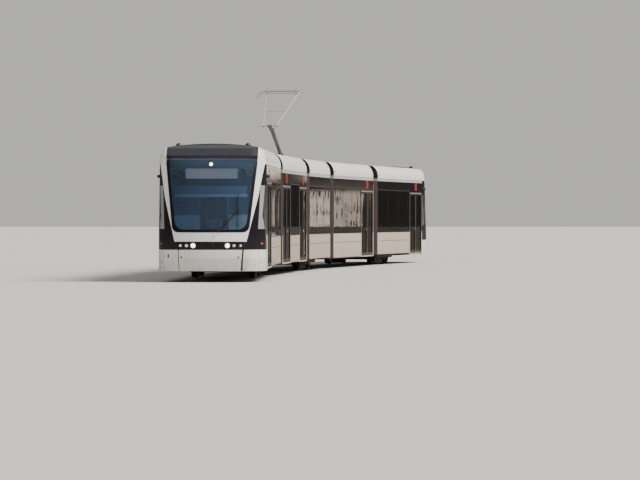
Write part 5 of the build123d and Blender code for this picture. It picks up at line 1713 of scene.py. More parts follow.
def build_ceiling(tram):
    """Ceiling light strips, panel joints and air slots."""
    for number, kind in KINDS.items():
        lights, frames = shapes(2)
        start, end = BODY_SPAN[kind]
        for side in (1, -1):
            y = side * 0.42
            lights.box(start + 0.2, end - 0.2, y - 0.05, y + 0.05, EAVES - 0.018, EAVES - 0.001, 0.006)
            for edge in (-0.06, 0.06):
                across = (y + edge - 0.006, y + edge + 0.006)
                frames.box(start + 0.15, end - 0.15, *across, EAVES - 0.022, EAVES - 0.001, 0.002)
            for i in range(int((end - start - 0.4) / 0.25)):
                x = start + 0.3 + i * 0.25
                slot = (side * 0.16 - 0.008, side * 0.16 + 0.008)
                frames.box(x, x + 0.18, *slot, EAVES - 0.008, EAVES - 0.001, 0.002)
            left, right = sorted((side * (INNER_FACE - 0.002), side * (INNER_FACE - 0.20)))
            drops = (0.30, 0.0) if side < 0 else (0.0, 0.30)
            cove = [(left, EAVES - drops[0]), (right, EAVES - drops[1])]
            cove += [(right, EAVES - 0.001), (left, EAVES - 0.001)]
            frames.prism(cove, (start + 0.08, end - 0.08), "yz")
        make_all(
            f"s{number}_ceiling_", number, (lights, "lights", "ceiling_light"), (frames, "frames", "lining"),
        )


# The cab's inside: the partition's panels as (y0, y1, z0, z1), and outlines of the desk as (reach, height)
PARTITION = (
    (-1.10, -0.35, LOW_FLOOR, 2.6),
    (0.35, 1.10, LOW_FLOOR, 2.6),
    (-0.35, 0.35, LOW_FLOOR, 1.26),
    (-0.35, 0.35, 2.3, 2.6),
)
DESK = [
    (0, 0), (0.12, 0), (0.15, 0.10), (0.24, 0.42), (0.30, 0.58), (0.30, 0.74), (0.25, 0.785), (0.18, 0.80),
    (0.10, 0.755), (-0.10, 0.72), (-0.125, 0.70), (-0.12, 0.665), (0, 0.62),
]
HOOD = [(0.08, 0.75), (0.20, 0.79), (0.26, 0.78), (0.27, 0.86), (0.20, 0.90), (0.13, 0.89)]
DESK_SCREEN = [(0.098, 0.775), (0.138, 0.878), (0.133, 0.882), (0.092, 0.778)]
SEAT_BACK = [(-0.015, 0.08), (-0.055, 0.08), (-0.145, 0.72), (-0.115, 0.74)]
LEVER = [(0.05, 0), (0.05, 0.012), (0.02, 0.03), (0.014, 0.09), (0.024, 0.12), (0.026, 0.15), (0.0, 0.165)]
DESK_BUTTON = [(0.013, 0), (0.013, 0.006), (0.009, 0.012), (0.0, 0.013)]
DESK_TILT = (-0.15, 0, 1)
ARMREST = [(-0.03, 0.22, 0.20), (0.06, 0.225, 0.23), (0.26, 0.225, 0.23)]
# The driver's cushions: centre from the seat's back corner, and three half sizes
CUSHIONS = (
    ((0.185, 0, 0.062), (0.19, 0, 0), (0, 0.225, 0), (0, 0, 0.034)),
    ((-0.045, 0, 0.33), (0.035, 0, -0.24), (0, 0.215, 0), (0.032, 0, 0.005)),
    ((-0.10, 0, 0.655), (0.012, 0, -0.085), (0, 0.13, 0), (0.026, 0, 0.004)),
)


def build_cab_inside(tram):
    """Partition with its door, desk with screens and controls, driver's seat, sun blinds, and dark sheets of
    painted shade behind the upper windscreen.
    """
    for number in CABS:
        panel, trims, desk, screens, chair, pads, blind, shade_sheets, shade, side_blind, pane = shapes(11)
        x0, x1 = CAB_BACK + 0.04, CAB_BACK + 0.08
        for walls in PARTITION:
            panel.box(x0, x1, *walls, 0.004)
        for y in (-0.35, 0.35):
            trims.box(x0 - 0.006, x1 + 0.006, y - 0.012, y + 0.012, LOW_FLOOR + 0.01, 2.32, 0.004)
        for z in ((1.25, 1.275), (2.29, 2.315)):
            trims.box(x0 - 0.006, x1 + 0.006, -0.36, 0.36, *z, 0.004)
        trims.tube([(x0 - 0.002, 0.28, 1.05), (x0 - 0.05, 0.28, 1.05), (x0 - 0.05, 0.16, 1.05)], 0.009, 10)
        build_desk(desk, screens, trims)
        build_driver_seat(chair, pads)
        tree = nose_skin(number)
        behind_screen(blind, tree, (2.07, 2.143), 0.085, 0.92)
        behind_screen(shade, tree, (2.145, 2.35), 0.10, 0.92)
        # Painted shade: dark sheets behind the windscreen's upper part
        behind_screen(shade_sheets, tree, (2.79, 3.02), 0.085, 1.15)
        behind_screen(shade_sheets, tree, (2.36, 2.80), 0.42, 1.12)
        pane.box(x0 + 0.015, x0 + 0.023, -0.345, 0.345, 1.262, 2.298, 0.001)
        near, far = [], []
        for i in range(9):
            z = 1.30 + i * 0.76 / 8
            ahead = 0.62 if z < 1.6 else 0.62 - (z - 1.6) * 0.24
            places = [CAB_BACK + 0.08 + k * (ahead - 0.08) / 6 for k in range(7)]
            spots = [cast(tree, (x, -2, z), (0, 1, 0))[0] for x in places]
            near.append([spot + Vector((0, 0.075, 0)) for spot in spots])
            far.append([spot + Vector((0, 0.080, 0)) for spot in spots])
        side_blind.slab(near, far)
        prefix, old = f"s{number}_", f"s{number}_interior"
        make_all(prefix, number, (pane, "partition_pane", "cab_pane"))
        partition = ((panel, "partition", "cab_lining"), (trims, "partition_trims", "alloy"))
        make_all(prefix, number, *partition, replaces=old)
        make_all(prefix, number, (desk, "desk", "desk_plastic"), replaces=old, bevel=0.004)
        make_all(prefix, number, (screens, "desk_screens", "display_panel"), replaces=old)
        make_all(prefix, number, (chair, "driver_seat_frame", "desk_plastic"), replaces=old, bevel=0.004)
        pad = pads.make(f"{prefix}driver_seat_pads", number, "cloth", smooth=1.2)
        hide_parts(old)
        make_all(
            prefix, number,
            (blind, "blind_bar", "side_blind"), (shade, "blind_panel", "blind_panel"),
            (shade_sheets, "screen_header", "cab_header"), (side_blind, "side_blind", "side_blind"),
        )


def build_desk(desk, screens, trims):
    """The desk with its hood, screens, levers and buttons."""
    base = END_LENGTH - 0.9

    def placed(outline):
        """An outline moved to where the desk stands."""
        return [(base + x, LOW_FLOOR + z) for x, z in outline]

    desk.prism(placed(DESK), (-0.82, 0.82))
    desk.prism(placed(HOOD), (-0.46, 0.46))
    for y in (-0.27, 0.0, 0.27):
        screens.prism(placed(DESK_SCREEN), (y - 0.11, y + 0.11))
    for side in (1, -1):
        desk.lathe((base - 0.02, side * 0.34, LOW_FLOOR + 0.73), DESK_TILT, LEVER, 20)
        for i in range(6):
            for k in range(2):
                spot = (base - 0.06 + k * 0.05, side * (0.44 + i * 0.05), LOW_FLOOR + 0.735 + k * 0.007)
                trims.lathe(spot, DESK_TILT, DESK_BUTTON, 12)


def build_driver_seat(chair, pads):
    """The driver's seat on its pedestal, with armrests, back and cushions."""
    seat_x, seat_z = CAB_BACK + 0.23, LOW_FLOOR + 0.42
    stand = [(0.17, LOW_FLOOR), (0.17, LOW_FLOOR + 0.02), (0.075, LOW_FLOOR + 0.05)]
    stand += [(0.065, seat_z - 0.06), (0.12, seat_z - 0.02), (0.12, seat_z)]
    chair.lathe((seat_x + 0.18, 0, 0), UP, stand, 28)
    chair.box(seat_x + 0.01, seat_x + 0.37, -0.20, 0.20, seat_z - 0.01, seat_z + 0.03, 0.012)
    chair.prism([(seat_x + x, seat_z + z) for x, z in SEAT_BACK], (-0.21, 0.21))
    for side in (1, -1):
        chair.tube([(seat_x + x, side * y, seat_z + z) for x, y, z in ARMREST], 0.017, 10)
    for (x, y, z), *halves in CUSHIONS:
        cushion(pads, (seat_x + x, y, seat_z + z), *halves)


def behind_screen(shape, tree, span, depth, half):
    """A stiff sheet that follows the windscreen from inside, between two heights."""
    front, back = [], []
    for j in range(5):
        z = span[0] + (span[1] - span[0]) * j / 4
        front.append([on_nose(tree, half * (i / 8 - 1), z, -depth) for i in range(17)])
        back.append([point + Vector((-0.004, 0, 0)) for point in front[-1]])
    shape.slab(front, back)


def cushion(shape, centre, first, second, third, count=14):
    """A crowned pad from its centre and half sizes, drawn in between corners and welted at its edge."""
    centre, first, second, third = (Vector(v) for v in (centre, first, second, third))
    rows = {1: [], -1: []}
    for face in rows:
        for i in range(count + 1):
            v = 2 * i / count - 1
            row = []
            for k in range(count + 1):
                u = 2 * k / count - 1
                pull = 1 - 0.03 * (1 - abs(u)) * abs(v) ** 6 - 0.03 * (1 - abs(v)) * abs(u) ** 6
                height = ((1 - abs(u) ** 3.2) * (1 - abs(v) ** 3.2)) ** 0.45
                height -= 0.14 * math.exp(-((abs(u) - 0.55) / 0.07) ** 2) * (1 - v**6) if face > 0 else 0
                row.append(centre + first * v * pull + second * u * pull + third * face * max(height, 0.06))
            rows[face].append(row)
    shape.slab(rows[1], rows[-1])


# Gangways: half the length, width and heights of a hood, and how far each section's end is turned
HOOD_REACH = 0.319
HOOD_HALF = 1.22
HOOD_LOW = 0.305
HOOD_TOP = 2.734
HOOD_CORNER = 0.10
END_TURNS = {1: 7.2, 2: 2.9, 3: 0.0, 4: -4.5, 5: -6.6}
CUFF = (0.004, 0.01, 0.045, 0.05)


def build_bellows(tram):
    """The pleated hoods between the bodies, shaped to how far each body's end is turned."""
    for n in range(1, 5):
        name, ahead, behind = f"bellows_{n}_{n + 1}", f"section_{n}", f"section_{n + 1}"
        hood = (PIVOTS[f"articulation_{n}_{n + 1}"], END_TURNS[n], END_TURNS[n + 1])
        rows, inner = [], []
        count = tram.pleats * 4
        for i in range(count + 1):
            share = i / count
            fold = 0.5 - 0.5 * math.cos(2 * math.pi * tram.pleats * share)
            depth = tram.pleat_depth * fold ** 0.7
            rows.append(hoop(*hood, share, depth))
            inner.append(hoop(*hood, share, 0.050 + tram.pleat_depth - depth))
        folds = Shape()
        folds.slab(rows, inner)
        for share, step, label, body in ((0.0, 1, "rear", behind), (1.0, -1, "front", ahead)):
            insets = (0.002, -0.004, -0.004, 0.002)
            cuff = Shape()
            cuff.slab(
                [hoop(*hood, share + step * s, inset) for s, inset in zip(CUFF, insets)],
                [hoop(*hood, share + step * s, 0.018) for s in CUFF],
            )
            cuff.make(f"{name}_cuff_{label}", 0, "dark_frame", body=body)
        obj = folds.make(name + "_folds", 0, "bellows", smooth=1.0, body=ahead)
        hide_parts(name)
        blend_over(obj, ahead, behind, *hood)


def hoop(pivot, front, rear, share, inset):
    """A cross-section of a hood, an open arch of points, from the rear body (0) to the front body (1)."""
    half, top = HOOD_HALF - inset - 0.006, HOOD_TOP - inset
    left = [(-half, HOOD_LOW), (-half, HOOD_LOW + 0.8), (-half, 1.4), (-half, top - HOOD_CORNER)]
    for a in (0.4, 0.8, 1.2):
        left.append((-half + HOOD_CORNER * (1 - math.cos(a)), top - HOOD_CORNER + HOOD_CORNER * math.sin(a)))
    left += [(-half + HOOD_CORNER, top), (-0.5, top)]
    points = []
    for y, z in left + [(0.0, top)] + [(-y, z) for y, z in reversed(left)]:
        ends = []
        for heading, reach in ((rear, -HOOD_REACH), (front, HOOD_REACH)):
            turn = math.radians(heading)
            ends.append(Vector((
                pivot.x + reach * math.cos(turn) - y * math.sin(turn),
                pivot.y + reach * math.sin(turn) + y * math.cos(turn),
                z + FLANGE,
            )))
        points.append(ends[0].lerp(ends[1], share))
    return points


def blend_over(obj, ahead, behind, pivot, front, rear):
    """Takes the hood off its body and bakes its place into its mesh."""
    obj.parent = None
    if "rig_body" in obj:
        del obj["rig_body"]
    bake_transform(obj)


# On the roof. Gear boxes of each kind of section: centre along the body, length, width, height
ROOF_GEAR = {
    "end": [(1.5, 1.9, 1.7, 0.30), (3.9, 2.3, 1.8, 0.33)],
    "hung": [(-1.55, 1.9, 1.7, 0.33), (1.25, 2.5, 1.7, 0.42)],
    "middle": [(1.35, 0.8, 1.5, 0.25), (-1.48, 0.7, 1.5, 0.25)],
}
LIFTING_EYE = [(0.022, 0), (0.022, 0.008), (0.010, 0.012), (0.009, 0.022), (0, 0.024)]
BLADE_FACES = [(0, 1, 2, 3), (7, 6, 5, 4), (0, 4, 5, 1), (1, 5, 6, 2), (2, 6, 7, 3), (3, 7, 4, 0)]
SLOT_PITCH = 0.022
SLAT_PITCH = 0.055
# A fan's blade, as (share of the radius outwards, share sideways, height)
FAN_BLADE = ((0.18, 0.05, 0.012), (0.9, 0.20, 0.012), (0.9, -0.10, 0.004), (0.18, -0.06, 0.004))


def build_roof_gear(tram):
    """Grilles, fans, lids, handles, cables and lifting eyes on the roof boxes."""
    for number, kind in KINDS.items():
        frames, blades, dark, steel, cables = shapes(5)
        for index, (centre, length, width, height) in enumerate(ROOF_GEAR[kind]):
            top, half = ROOF_TOP + height, width / 2
            x0, x1 = centre - length / 2, centre + length / 2
            bay_count = max(1, round((length - 0.2) / 0.8))
            step = (length - 0.2) / bay_count
            centres = [x0 + 0.1 + (i + 0.5) * step for i in range(bay_count)]
            for cx in centres:
                if index == 0 and kind != "middle":
                    for side in (1, -1):
                        roof_fan(frames, blades, dark, cx, side * half * 0.48, top, min(step, half) * 0.42)
                else:
                    roof_louvres(frames, dark, cx, step * 0.84, half * 0.72, top)
                edge = cx - step / 2
                frames.block(edge, 0.006, 0, half - 0.07, top - 0.002, top + 0.005, 0.002)
            for side in (1, -1):
                y = side * (half - 0.012) - side * 0.03
                for cx in centres:
                    side_grille(dark, frames, cx, step * 0.7, side * half, ROOF_TOP + 0.07, top - 0.09, side)
                    low, high = top + 0.001, top + 0.035
                    rear, front = cx - 0.07, cx + 0.07
                    steel.tube([(rear, y, low), (rear, y, high), (front, y, high), (front, y, low)], 0.006, 8)
                for x in (x0 + 0.06, x1 - 0.06):
                    steel.lathe((x, side * (half - 0.08), top - 0.002), UP, LIFTING_EYE, 16)
                rail = side * (half + 0.02)
                frames.box(x0 - 0.02, x1 + 0.02, rail - 0.02, rail + 0.02, ROOF_TOP, ROOF_TOP + 0.03, 0.005)
            for x in (x0 - 0.004, x1 - 0.002):
                frames.box(x, x + 0.006, -half + 0.05, half - 0.05, ROOF_TOP + 0.03, top - 0.07, 0.002)
        start, end = BODY_SPAN[kind]
        for side in (1, -1):
            for k in range(3):
                y, z = side * (0.93 + k * 0.035), ROOF_TOP + 0.016
                cables.tube([(start + 0.1, y, z), (end - 0.1, y, z)], 0.013, 8)
            for i in range(int((end - start) / 0.6)):
                clip = (start + 0.3 + i * 0.6, 0.015, side * 0.965, 0.065)
                steel.block(*clip, ROOF_TOP + 0.002, ROOF_TOP + 0.034, 0.004)
        if kind != "middle":
            (c0, l0, _, _), (c1, l1, _, _) = ROOF_GEAR[kind]
            a, b, z = c0 + l0 / 2, c1 - l1 / 2, ROOF_TOP + 0.10
            for y in (-0.35, -0.28, 0.3):
                path = [(a - 0.01, y, z), (a + 0.06, y, z - 0.03), (b - 0.06, y, z - 0.03), (b + 0.01, y, z)]
                cables.tube(path, 0.02, 10)
        make_all(
            f"s{number}_roof_", number,
            (frames, "box_frames", "grey_box"), (blades, "fans", "dark_box"), (dark, "grilles", "dark_box"),
            (steel, "fixings", "steel"), (cables, "cables", "rubber"),
        )


def roof_fan(frames, blades, dark, x, y, top, radius):
    """A fan in its ring under a guard of hoops and spokes."""
    centre = Vector((x, y, top))
    inner, outer = radius * 0.93, radius * 1.08
    rim = [(inner, -0.002), (outer, -0.002), (outer, 0.012), (radius, 0.022), (inner, 0.022)]
    frames.lathe(centre, UP, rim, 40, ring=True)
    plate = radius * 0.94
    dark.lathe(centre, UP, [(0, 0.0005), (plate, 0.0005), (plate, 0.003), (0, 0.003)], 32)
    for share in (0.25, 0.5, 0.75):
        loop = arc((x, y, top + 0.020), radius * share, 32)
        frames.tube(loop + loop[:1], 0.0035, 6, caps=False)
    spokes = arc((x, y, top + 0.017), radius * 0.96, 16)
    for k in range(8):
        frames.tube([spokes[k + 8], spokes[k]], 0.003, 6)
    blades.lathe(centre, UP, [(0, 0.003), (radius * 0.22, 0.003), (radius * 0.20, 0.014), (0, 0.015)], 24)
    for k in range(7):
        a = 2 * math.pi * k / 7
        first, second = Vector((math.cos(a), math.sin(a), 0)), Vector((-math.sin(a), math.cos(a), 0))
        corners = [
            centre + first * radius * out + second * radius * beside + Vector((0, 0, rise))
            for out, beside, rise in FAN_BLADE
        ]
        blades.add(corners + [corner - Vector((0, 0, 0.0025)) for corner in corners], BLADE_FACES)


def roof_louvres(frames, dark, x, length, half, top):
    """A louvred panel on top of a box."""
    x0, x1 = x - length / 2, x + length / 2
    for y in (-half, half - 0.03):
        frames.box(x0, x1, y, y + 0.03, top - 0.002, top + 0.016, 0.003)
    for left in (x0, x1 - 0.03):
        frames.box(left, left + 0.03, -half, half, top - 0.002, top + 0.016, 0.003)
    dark.box(x0 + 0.02, x1 - 0.02, -half + 0.02, half - 0.02, top - 0.001, top + 0.003)
    count = int(2 * half / SLAT_PITCH)
    for i in range(1, count):
        y = -half + i * 2 * half / count
        slat = [(y - 0.018, top + 0.003), (y - 0.014, top + 0.003)]
        slat += [(y + 0.018, top + 0.0135), (y + 0.014, top + 0.015)]
        frames.prism(slat, (x0 + 0.02, x1 - 0.02), "yz")


def side_grille(dark, frames, x, length, y, low, high, side):
    """A slotted grille on the side of a roof box."""
    x0, x1 = x - length / 2, x + length / 2
    frames.box(x0, x1, *sorted((y - side * 0.002, y + side * 0.004)), low, high, 0.002)
    slot = sorted((y + side * 0.003, y + side * 0.0065))
    for i in range(int((high - low - 0.02) / SLOT_PITCH)):
        z = low + 0.02 + i * SLOT_PITCH
        dark.box(x0 + 0.02, x1 - 0.02, *slot, z - 0.005, z + 0.005, 0.001)


# Pantograph. Pin places on the middle section, as (x, height above the rail)
FOOT = (-0.60, 3.48)
KNEE = (1.20, 4.30)
HEAD = (-0.94, 5.38)
ROD_FOOT = (-0.33, 3.40)
KNEE_HALF = 0.205
APEX_HALF = 0.50
STRIP_HALF = 0.525
FRAME_LOW = ROOF_TOP + 0.42
UPPER_ANGLE = math.atan2(HEAD[1] - KNEE[1], KNEE[0] - HEAD[0])
# Turned parts, as (radius, reach)
INSULATOR_FOOT = [(0.08, ROOF_TOP), (0.08, ROOF_TOP + 0.022), (0.06, ROOF_TOP + 0.032)]
INSULATOR_HEAD = [(0.06, FRAME_LOW - 0.035), (0.075, FRAME_LOW - 0.02), (0.075, FRAME_LOW)]
FOOT_BOLT = [(0.010, 0), (0.010, 0.010), (0.006, 0.013), (0, 0.013)]
FRAME_BOLT = [(0.022, 0), (0.022, 0.006), (0.014, 0.006), (0.014, 0.02), (0, 0.022)]
DAMPER = [(0.03, 0), (0.036, 0.01), (0.036, 0.24), (0.03, 0.25), (0.012, 0.255), (0.012, 0.36), (0, 0.36)]
LEAD_FOOT = [(0.05, ROOF_TOP), (0.05, ROOF_TOP + 0.02), (0.03, ROOF_TOP + 0.06), (0.014, ROOF_TOP + 0.08)]
ARM_COLLAR = [(0.042, -0.012), (0.052, -0.008), (0.052, 0.008), (0.042, 0.012)]
CABLE_RING = [(0.042, -0.006), (0.046, -0.005), (0.046, 0.005), (0.042, 0.006)]
STAY_COLLAR = [(0.019, -0.02), (0.025, -0.014), (0.025, 0.014), (0.019, 0.02)]
KNEE_CAP = [(0.036, -0.004), (0.036, 0.003), (0.024, 0.008), (0.012, 0.009), (0.012, 0.016), (0, 0.018)]
HEAD_CAP = [(0.019, -0.03), (0.026, -0.024), (0.026, 0.004), (0.014, 0.010), (0, 0.012)]
ROD_NUT = [(0.014, -0.03), (0.021, -0.024), (0.021, 0.024), (0.014, 0.03)]
ROD_SLEEVE = [(0.014, -0.05), (0.0175, -0.046), (0.0175, 0.046), (0.014, 0.05)]
STRIP_END = [(0.013, -0.03), (0.0138, -0.02), (0.013, 0.0), (0.0115, 0.012)]
HEAD_WASHER = [(0.034, -0.001), (0.030, 0.003), (0.022, 0.004)]


def at(place, y):
    """A point of the pantograph's plane at a distance across."""
    return Vector((place[0], y, place[1]))


def coil(start, end, radius, turns, count, axis="z"):
    """The path of a coil between two points, wound round an upward (z) or lengthwise (x) axis."""
    path = []
    for i in range(count + 1):
        a = 2 * math.pi * turns * i / count
        x, y, z = (p + (q - p) * i / count for p, q in zip(start, end))
        u, v = radius * math.cos(a), radius * math.sin(a)
        path.append((x + u, y + v, z) if axis == "z" else (x, y + u, z + v))
    return path


def build_pantograph(tram):
    """Insulator sheds, springs, cables, bolts, stays and contact strips of the pantograph."""
    build_panto_base()
    build_panto_arms()
    build_panto_head()


def build_panto_base():
    """Insulators, spring, damper, base fittings and cable."""
    sheds, bolts, springs, paint, cable = shapes(5)
    profile = [(0.057, ROOF_TOP + 0.03)]
    for i in range(7):
        z = ROOF_TOP + 0.05 + i * 0.048
        profile += [(0.057, z), (0.088, z + 0.006), (0.090, z + 0.011), (0.060, z + 0.028)]
    profile += [(0.057, FRAME_LOW - 0.03)]
    for x in (-1.0, 0.2):
        for y in (-0.43, 0.43):
            sheds.lathe((x, y, 0), UP, profile, 28)
            bolts.lathe((x, y, 0), UP, INSULATOR_FOOT, 24)
            bolts.lathe((x, y, 0), UP, INSULATOR_HEAD, 24)
            for spot in arc((x, y, ROOF_TOP + 0.02), 0.064, 4, phase=math.pi / 4):
                bolts.lathe(spot, UP, FOOT_BOLT, 6)
            bolts.lathe((x, y, FRAME_LOW + 0.048), UP, FRAME_BOLT, 6)
    for y in (-0.045, 0.045):
        z = FRAME_LOW + 0.10
        springs.tube(coil((-0.52, y, z), (0.12, y, z), 0.026, 22, 220, "x"), 0.0045, 6)
        bolts.tube([(-0.61, y, z), (0.18, y, z)], 0.008, 8)
        paint.box(0.16, 0.19, y - 0.03, y + 0.03, FRAME_LOW + 0.045, FRAME_LOW + 0.14, 0.004)
    paint.lathe((-0.78, 0.16, FRAME_LOW + 0.11), ALONG, DAMPER, 20)
    for x in (-0.76, -0.60):
        paint.box(x, x + 0.06, 0.12, 0.20, FRAME_LOW + 0.045, FRAME_LOW + 0.085, 0.004)
    for y in (0.48, -0.48):
        paint.box(-1.02, 0.22, y - 0.022, y + 0.022, FRAME_LOW + 0.008, FRAME_LOW + 0.044, 0.005)
    lead = [(0.10, -0.20, FRAME_LOW + 0.02), (0.30, -0.24, FRAME_LOW - 0.04), (0.42, -0.26, FRAME_LOW - 0.20)]
    cable.tube(lead + [(0.46, -0.26, ROOF_TOP + 0.02)], 0.014, 10)
    cable.lathe((0.46, -0.26, 0), UP, LEAD_FOOT, 20)
    make_all(
        "pantograph_", 3,
        (sheds, "insulator_sheds", "insulator"), (bolts, "base_fixings", "steel"),
        (springs, "springs", "steel"), (paint, "base_fittings", "panto_paint"), (cable, "lead", "rubber"),
    )


def build_panto_arms():
    """Collars and cables on the lower arm, crossing stays and caps on the upper arm, and the rod's ends."""
    lower, cables, upper, rod = shapes(4)
    foot, knee = at(FOOT, 0), at(KNEE, 0)
    along = (knee - foot).normalized()
    for reach in (0.10, 0.16, 1.76, 1.84):
        lower.lathe(foot + along * reach, along, ARM_COLLAR, 28)
    for pin, half, radius in ((FOOT, 0.075, 0.050), (KNEE, 0.060, 0.048)):
        wide = radius + 0.006
        cap = [(radius * 0.98, -0.012), (wide, -0.008), (wide, -0.001), (radius * 0.6, 0.0)]
        for side in (1, -1):
            lower.lathe(at(pin, side * half), (0, side, 0), cap, 28)
    below = Vector((0, 1, 0)).cross(along) * -0.050
    for y in (-0.03, 0.03):
        cables.tube([foot + along * d + below + Vector((0, y, 0)) for d in (0.15, 0.6, 1.1, 1.75)], 0.007, 8)
    for d in (0.35, 0.75, 1.15, 1.55):
        lower.lathe(foot + along * d, along, CABLE_RING, 24)
    left, right = [(at(KNEE, side * KNEE_HALF), at(HEAD, side * APEX_HALF)) for side in (1, -1)]
    for (a0, a1), (b0, b1) in ((left, right), (right, left)):
        upper.tube([a0.lerp(a1, 0.10), b0.lerp(b1, 0.43)], 0.006, 8)
        upper.tube([a0.lerp(a1, 0.47), b0.lerp(b1, 0.93)], 0.006, 8)
    for side, (start, end) in ((1, left), (-1, right)):
        for share in (0.03, 0.45, 0.97):
            upper.lathe(start.lerp(end, share), (end - start).normalized(), STAY_COLLAR, 24)
        upper.lathe(at(KNEE, side * (KNEE_HALF + 0.03)), (0, side, 0), KNEE_CAP, 24)
        upper.lathe(at(HEAD, side * APEX_HALF), (0, side, 0), HEAD_CAP, 24)
    tail = (KNEE[0] + 0.15 * math.cos(UPPER_ANGLE), KNEE[1] - 0.15 * math.sin(UPPER_ANGLE))
    a, b = at(ROD_FOOT, 0.12), at(tail, 0.12)
    along = (b - a).normalized()
    for reach in (0.06, (b - a).length - 0.06):
        rod.lathe(a + along * reach, along, ROD_NUT, 6)
        rod.lathe(a + along * reach, along, ROD_SLEEVE, 20)
    lower_rows = ((lower, "lower_collars", "steel"), (cables, "lower_cables", "rubber"))
    make_all("pantograph_", 3, *lower_rows, body="pantograph_lower_arm")
    make_all("pantograph_", 3, (upper, "upper_stays", "panto_pale"), body="pantograph_upper_arm")
    make_all("pantograph_", 3, (rod, "rod_nuts", "steel"), body="pantograph_rod")


def build_panto_head():
    """Carbon strips in their carriers, end ramps, suspension springs and bolts."""
    strips, clips, springs = shapes(3)
    top = HEAD[1] + 0.07
    low, high = STRIP_HALF - 0.02, STRIP_HALF - 0.04
    outline = [(-low, top - 0.002), (low, top - 0.002), (high, top), (-high, top)]
    for x in (HEAD[0] - 0.15, HEAD[0] + 0.15):
        strips.prism(outline, (x - 0.0165, x + 0.0165), "yz")
        for i in range(8):
            clips.block(x, 0.0195, -0.46 + i * 0.92 / 7, 0.012, top - 0.024, top - 0.010, 0.002)
        for side in (1, -1):
            clips.lathe((x, side * STRIP_HALF, top - 0.014), (0, side, 0), STRIP_END, 16)
    for side in (1, -1):
        y = side * (APEX_HALF - 0.06)
        for x in (HEAD[0] - 0.11, HEAD[0] + 0.11):
            springs.tube(coil((x, y, top - 0.048), (x, y, top - 0.028), 0.012, 5, 60), 0.0018, 6)
        clips.lathe(at(HEAD, y + side * 0.010), (0, side, 0), HEAD_WASHER, 24)
    make_all(
        "pantograph_", 3,
        (strips, "carbon_strips", "carbon"), (clips, "strip_clips", "steel"),
        (springs, "head_springs", "steel"), body="pantograph_head",
    )


# Running gear: places across and turned parts, as (radius, reach)
BEAM_Y = 0.93
TRACK_BRAKE_Y = 0.75
WHEEL_PLANE = 1.365 / 2
AXLE_COVER = [(0.085, -0.004), (0.085, 0.014), (0.074, 0.022), (0.050, 0.026), (0.046, 0.034), (0, 0.036)]
COVER_BOLT = [(0.009, 0), (0.009, 0.009), (0.005, 0.011), (0, 0.011)]
BEAM_BOLT = [(0.018, -0.002), (0.018, 0.010), (0.010, 0.016), (0, 0.016)]
DAMPER_EYE = [(0.034, 0), (0.034, 0.05), (0.020, 0.055), (0, 0.056)]
BRAKE_BOLT = [(0.012, 0), (0.012, 0.008), (0, 0.008)]
HUB = [
    (0.057, -0.002), (0.115, -0.002), (0.115, 0.018), (0.100, 0.030), (0.070, 0.034), (0.0575, 0.050),
    (0.0565, 0.050),
]
RUBBER_RING = [(0.205, -0.002), (0.236, -0.002), (0.236, 0.006), (0.222, 0.013), (0.205, 0.006)]
WHEEL_BOLT = [(0.017, -0.002), (0.017, 0.010), (0.010, 0.010), (0.010, 0.020), (0, 0.022)]
BRAKE_DISC = [
    (0.057, -0.010), (0.08, -0.010), (0.11, 0.0), (0.24, 0.0), (0.24, 0.018), (0.11, 0.018), (0.09, 0.05),
    (0.057, 0.05),
]


def build_running_gear(tram):
    """Springs, dampers, axle-box covers, track brakes, cables and the wheels' discs and bolts."""
    axle = 0
    for number, kind in KINDS.items():
        if kind not in BOGIE_CENTRE:
            continue
        centre = BOGIE_CENTRE[kind]
        coils, covers, dampers, cables = shapes(4)
        for side in (1, -1):
            beam, out = side * BEAM_Y, (0, side, 0)
            for end in (1, -1):
                x = centre + end * WHEELBASE / 2
                face = beam + side * 0.055
                covers.lathe((x, face, WHEEL_RADIUS), out, AXLE_COVER, 32)
                for spot in arc((x, face + side * 0.018, WHEEL_RADIUS), 0.066, 6, "y"):
                    covers.lathe(spot, out, COVER_BOLT, 6)
                for shift in (-0.045, 0.045):
                    covers.lathe((x + shift, beam, WHEEL_RADIUS + 0.10), UP, BEAM_BOLT, 6)
                spring = (centre + end * 0.30, side * 0.43)
                coils.tube(coil((*spring, 0.225), (*spring, 0.375), 0.118, 4, 96), 0.013, 8)
            y = beam + side * 0.075
            dampers.tube([(centre - 0.24, y, 0.30), (centre + 0.05, y, 0.30)], 0.032, 16)
            dampers.tube([(centre + 0.04, y, 0.30), (centre + 0.24, y, 0.30)], 0.018, 12)
            for x in (centre - 0.25, centre + 0.25):
                dampers.lathe((x, beam + side * 0.05, 0.30), out, DAMPER_EYE, 20)
            for end in (1, -1):
                x = centre + end * 0.62
                dampers.block(x, 0.07, beam, 0.05, 0.374, 0.392, 0.006)
                hose = [(x, beam - side * 0.06, 0.36), (x, beam - side * 0.12, 0.32)]
                covers.tube(hose + [(x + end * 0.02, beam - side * 0.13, 0.16)], 0.010, 8)
            y = side * TRACK_BRAKE_Y
            for i in range(6):
                x = centre - 0.42 + i * 0.168
                covers.block(x, 0.06, y, 0.05, 0.018, 0.030, 0.004)
                covers.lathe((x, y, 0.178), UP, BRAKE_BOLT, 6)
            for x in (centre - 0.35, centre + 0.35):
                dampers.tube([(x, y, 0.175), (x, y + side * 0.10, 0.235)], 0.014, 10)
            run = [(-0.80, 0, 0.310), (-0.4, 0.01, 0.318), (0.4, 0.01, 0.318), (0.80, 0, 0.310)]
            drop = [(-0.10, -0.05, 0.30), (-0.12, -0.16, 0.26), (-0.20, -0.28, 0.22)]
            for path, radius in ((run, 0.009), (drop, 0.010)):
                cables.tube([(centre + x, beam + side * y, z) for x, y, z in path], radius, 8)
        make_all(
            f"s{number}_bogie_", number,
            (coils, "springs", "dark_box"), (covers, "covers", "steel"), (dampers, "dampers", "bogie_paint"),
            (cables, "cables", "rubber"),
        )
        for end in (1, -1):
            axle += 1
            wheel_details(number, axle, centre + end * WHEELBASE / 2)


